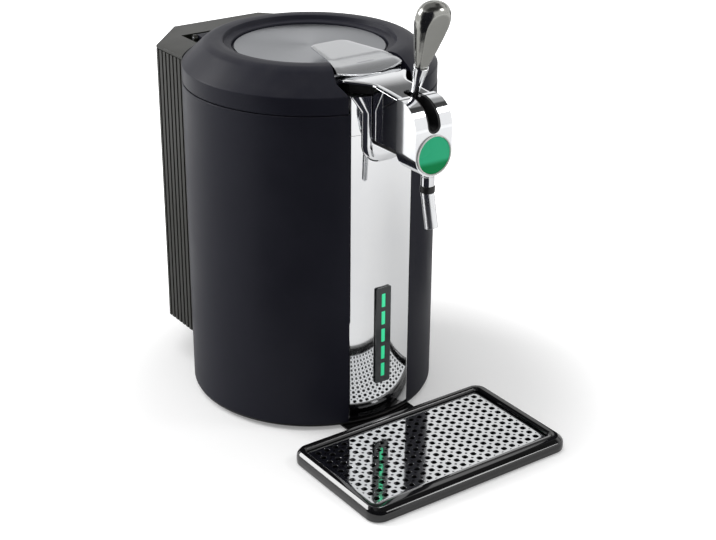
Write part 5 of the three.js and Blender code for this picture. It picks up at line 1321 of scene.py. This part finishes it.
# %% [markdown]
# The room is white to the camera. In the chrome it is a white wall up to some height, and
# behind the machine there is a dark gap above the wall, then a broad lit sheet, then a dim
# ceiling. In front the wall ends in a dark ceiling. The direction of a ray tells how high it
# looks, and a ramp turns that into a tone. For the light that the room gives, it is plain grey.

# %% Room
world = bpy.data.worlds.new("studio")
bpy.context.scene.world = world
world.use_nodes = True
tree = world.node_tree
direction = placed(tree, "TexCoord").outputs["Generated"]
looks = placed(tree, "SeparateXYZ", {"Vector": direction}).outputs
rays = placed(tree, "LightPath").outputs


def tones_by_height(stops):
    """A ramp of greys over the height of the direction, from (height, tone) pairs."""
    made = placed(tree, "ValToRGB", {"Fac": looks["Z"]})
    ramp = made.color_ramp
    for _ in stops[2:]:
        ramp.elements.new(0.5)
    for element, (height, tone) in zip(ramp.elements, stops):
        element.position = height
        element.color = (tone, tone, tone, 1.0)
    return made.outputs["Color"]


wall_behind = tones_by_height([
    (0.0, 1.0), (0.34, 1.0), (0.41, 0.16), (0.474, 0.14), (0.486, 0.95), (0.66, 0.95), (0.76, 0.34),
])
wall_in_front = tones_by_height([(0.2, 1.0), (0.6, 1.0), (0.76, 0.06)])
mirrored = blended(tree, ranged(tree, looks["Y"], (-0.05, 0.05)), wall_in_front, wall_behind)
unlit = blended(tree, rays["Is Glossy Ray"], (0.4, 0.4, 0.4), mirrored)
seen = blended(tree, rays["Is Camera Ray"], unlit, (1.0, 1.0, 1.0))
tree.links.new(seen, tree.nodes["Background"].inputs["Color"])

# %% [markdown]
# Chrome on white would vanish, so two dark cloths hang beside the machine, as they do in such
# studios: one on the front left and one on the right. They draw dark lines along the round
# edges of the tap and keep the casing's front dark. Only reflections see them; the camera and
# the light pass through.

# %% Dark cloths
cloth_dark = new_material(
    "black cloth", Base_Color=(0.03, 0.03, 0.04, 1.0), Roughness=1.0, Specular_IOR_Level=0.0
)[0]


def hung_cloth(name, start, end, radius=0.3, height=0.6, count=24):
    """A sheet on an arc round the origin. Angles in degrees are counted from the front towards
    the left, so that a point is (-r sin a, -r cos a)."""
    angle = np.radians(np.linspace(start, end, count))
    line = np.column_stack([-radius * np.sin(angle), -radius * np.cos(angle)])
    hems = [np.column_stack([line, np.full(count, z)]) for z in (0.002, height)]
    sheet = studio_sheet(name, hems, cloth_dark)
    sheet.visible_camera = sheet.visible_diffuse = sheet.visible_shadow = False


hung_cloth("cloth front left", 8, 80)
hung_cloth("cloth right", -92, -72, height=0.42)

# %% [markdown]
# Three lamps light the machine: one behind its left shoulder, which draws the casing's edge
# and the tray's rim, one overhead that mirrors don't show, and a small one on the right that
# glints on the tray.

# %% Lamps
def softbox(name, place, target, width, height, power):
    """A rectangular area light that faces its target."""
    light = bpy.data.lights.new(name, "AREA")
    light.shape = "RECTANGLE"
    light.size, light.size_y = width, height
    light.energy = power
    lamp = in_scene(name, light)
    turn = (Vector(target) - Vector(place)).to_track_quat("-Z", "Y").to_matrix().to_4x4()
    lamp.matrix_world = Matrix.Translation(place) @ turn
    return lamp


softbox("left_rear", (-1.25, 1.5, 1.25), (0, 0, 0.15), 1.0, 0.8, 26)
softbox("top", (-0.3, 0.2, 2.2), (0, 0, 0.2), 1.6, 1.6, 20).visible_glossy = False
softbox("front_right", (1.25, -1.15, 1.7), (0, -0.1, 0.1), 0.5, 0.5, 6)

# %% [markdown]
# The camera was fitted to the photograph: the rims of the casing and the corners of the tray
# give its place, its direction and its focal length. It looks slightly past the axis, and it
# is tilted by less than half a degree.

# %% Camera
CAMERA_PLACE = (-755.1, -1141.2, 741.5)
HEADING, DOWNWARDS, ROLL = np.radians([-35.478, 24.545, 0.4274])
IMAGE_WIDTH, FOCAL_PIXELS, SENSOR_WIDTH = 716.0, 1476.1, 36.0
lens = bpy.data.cameras.new("camera")
lens.sensor_fit = "HORIZONTAL"
lens.sensor_width = SENSOR_WIDTH
lens.lens = FOCAL_PIXELS / IMAGE_WIDTH * SENSOR_WIDTH
camera = in_scene("camera", lens)
camera.matrix_world = (
    Matrix.Translation(in_frame(CAMERA_PLACE))
    @ Matrix.Rotation(HEADING, 4, "Z")
    @ Matrix.Rotation(math.pi / 2 - DOWNWARDS, 4, "X")
    @ Matrix.Rotation(ROLL, 4, "Z")
)
bpy.context.scene.camera = camera
bpy.context.scene.view_settings.view_transform = "Standard"
print("lens", round(lens.lens, 2), "mm at", [round(v, 3) for v in camera.location])
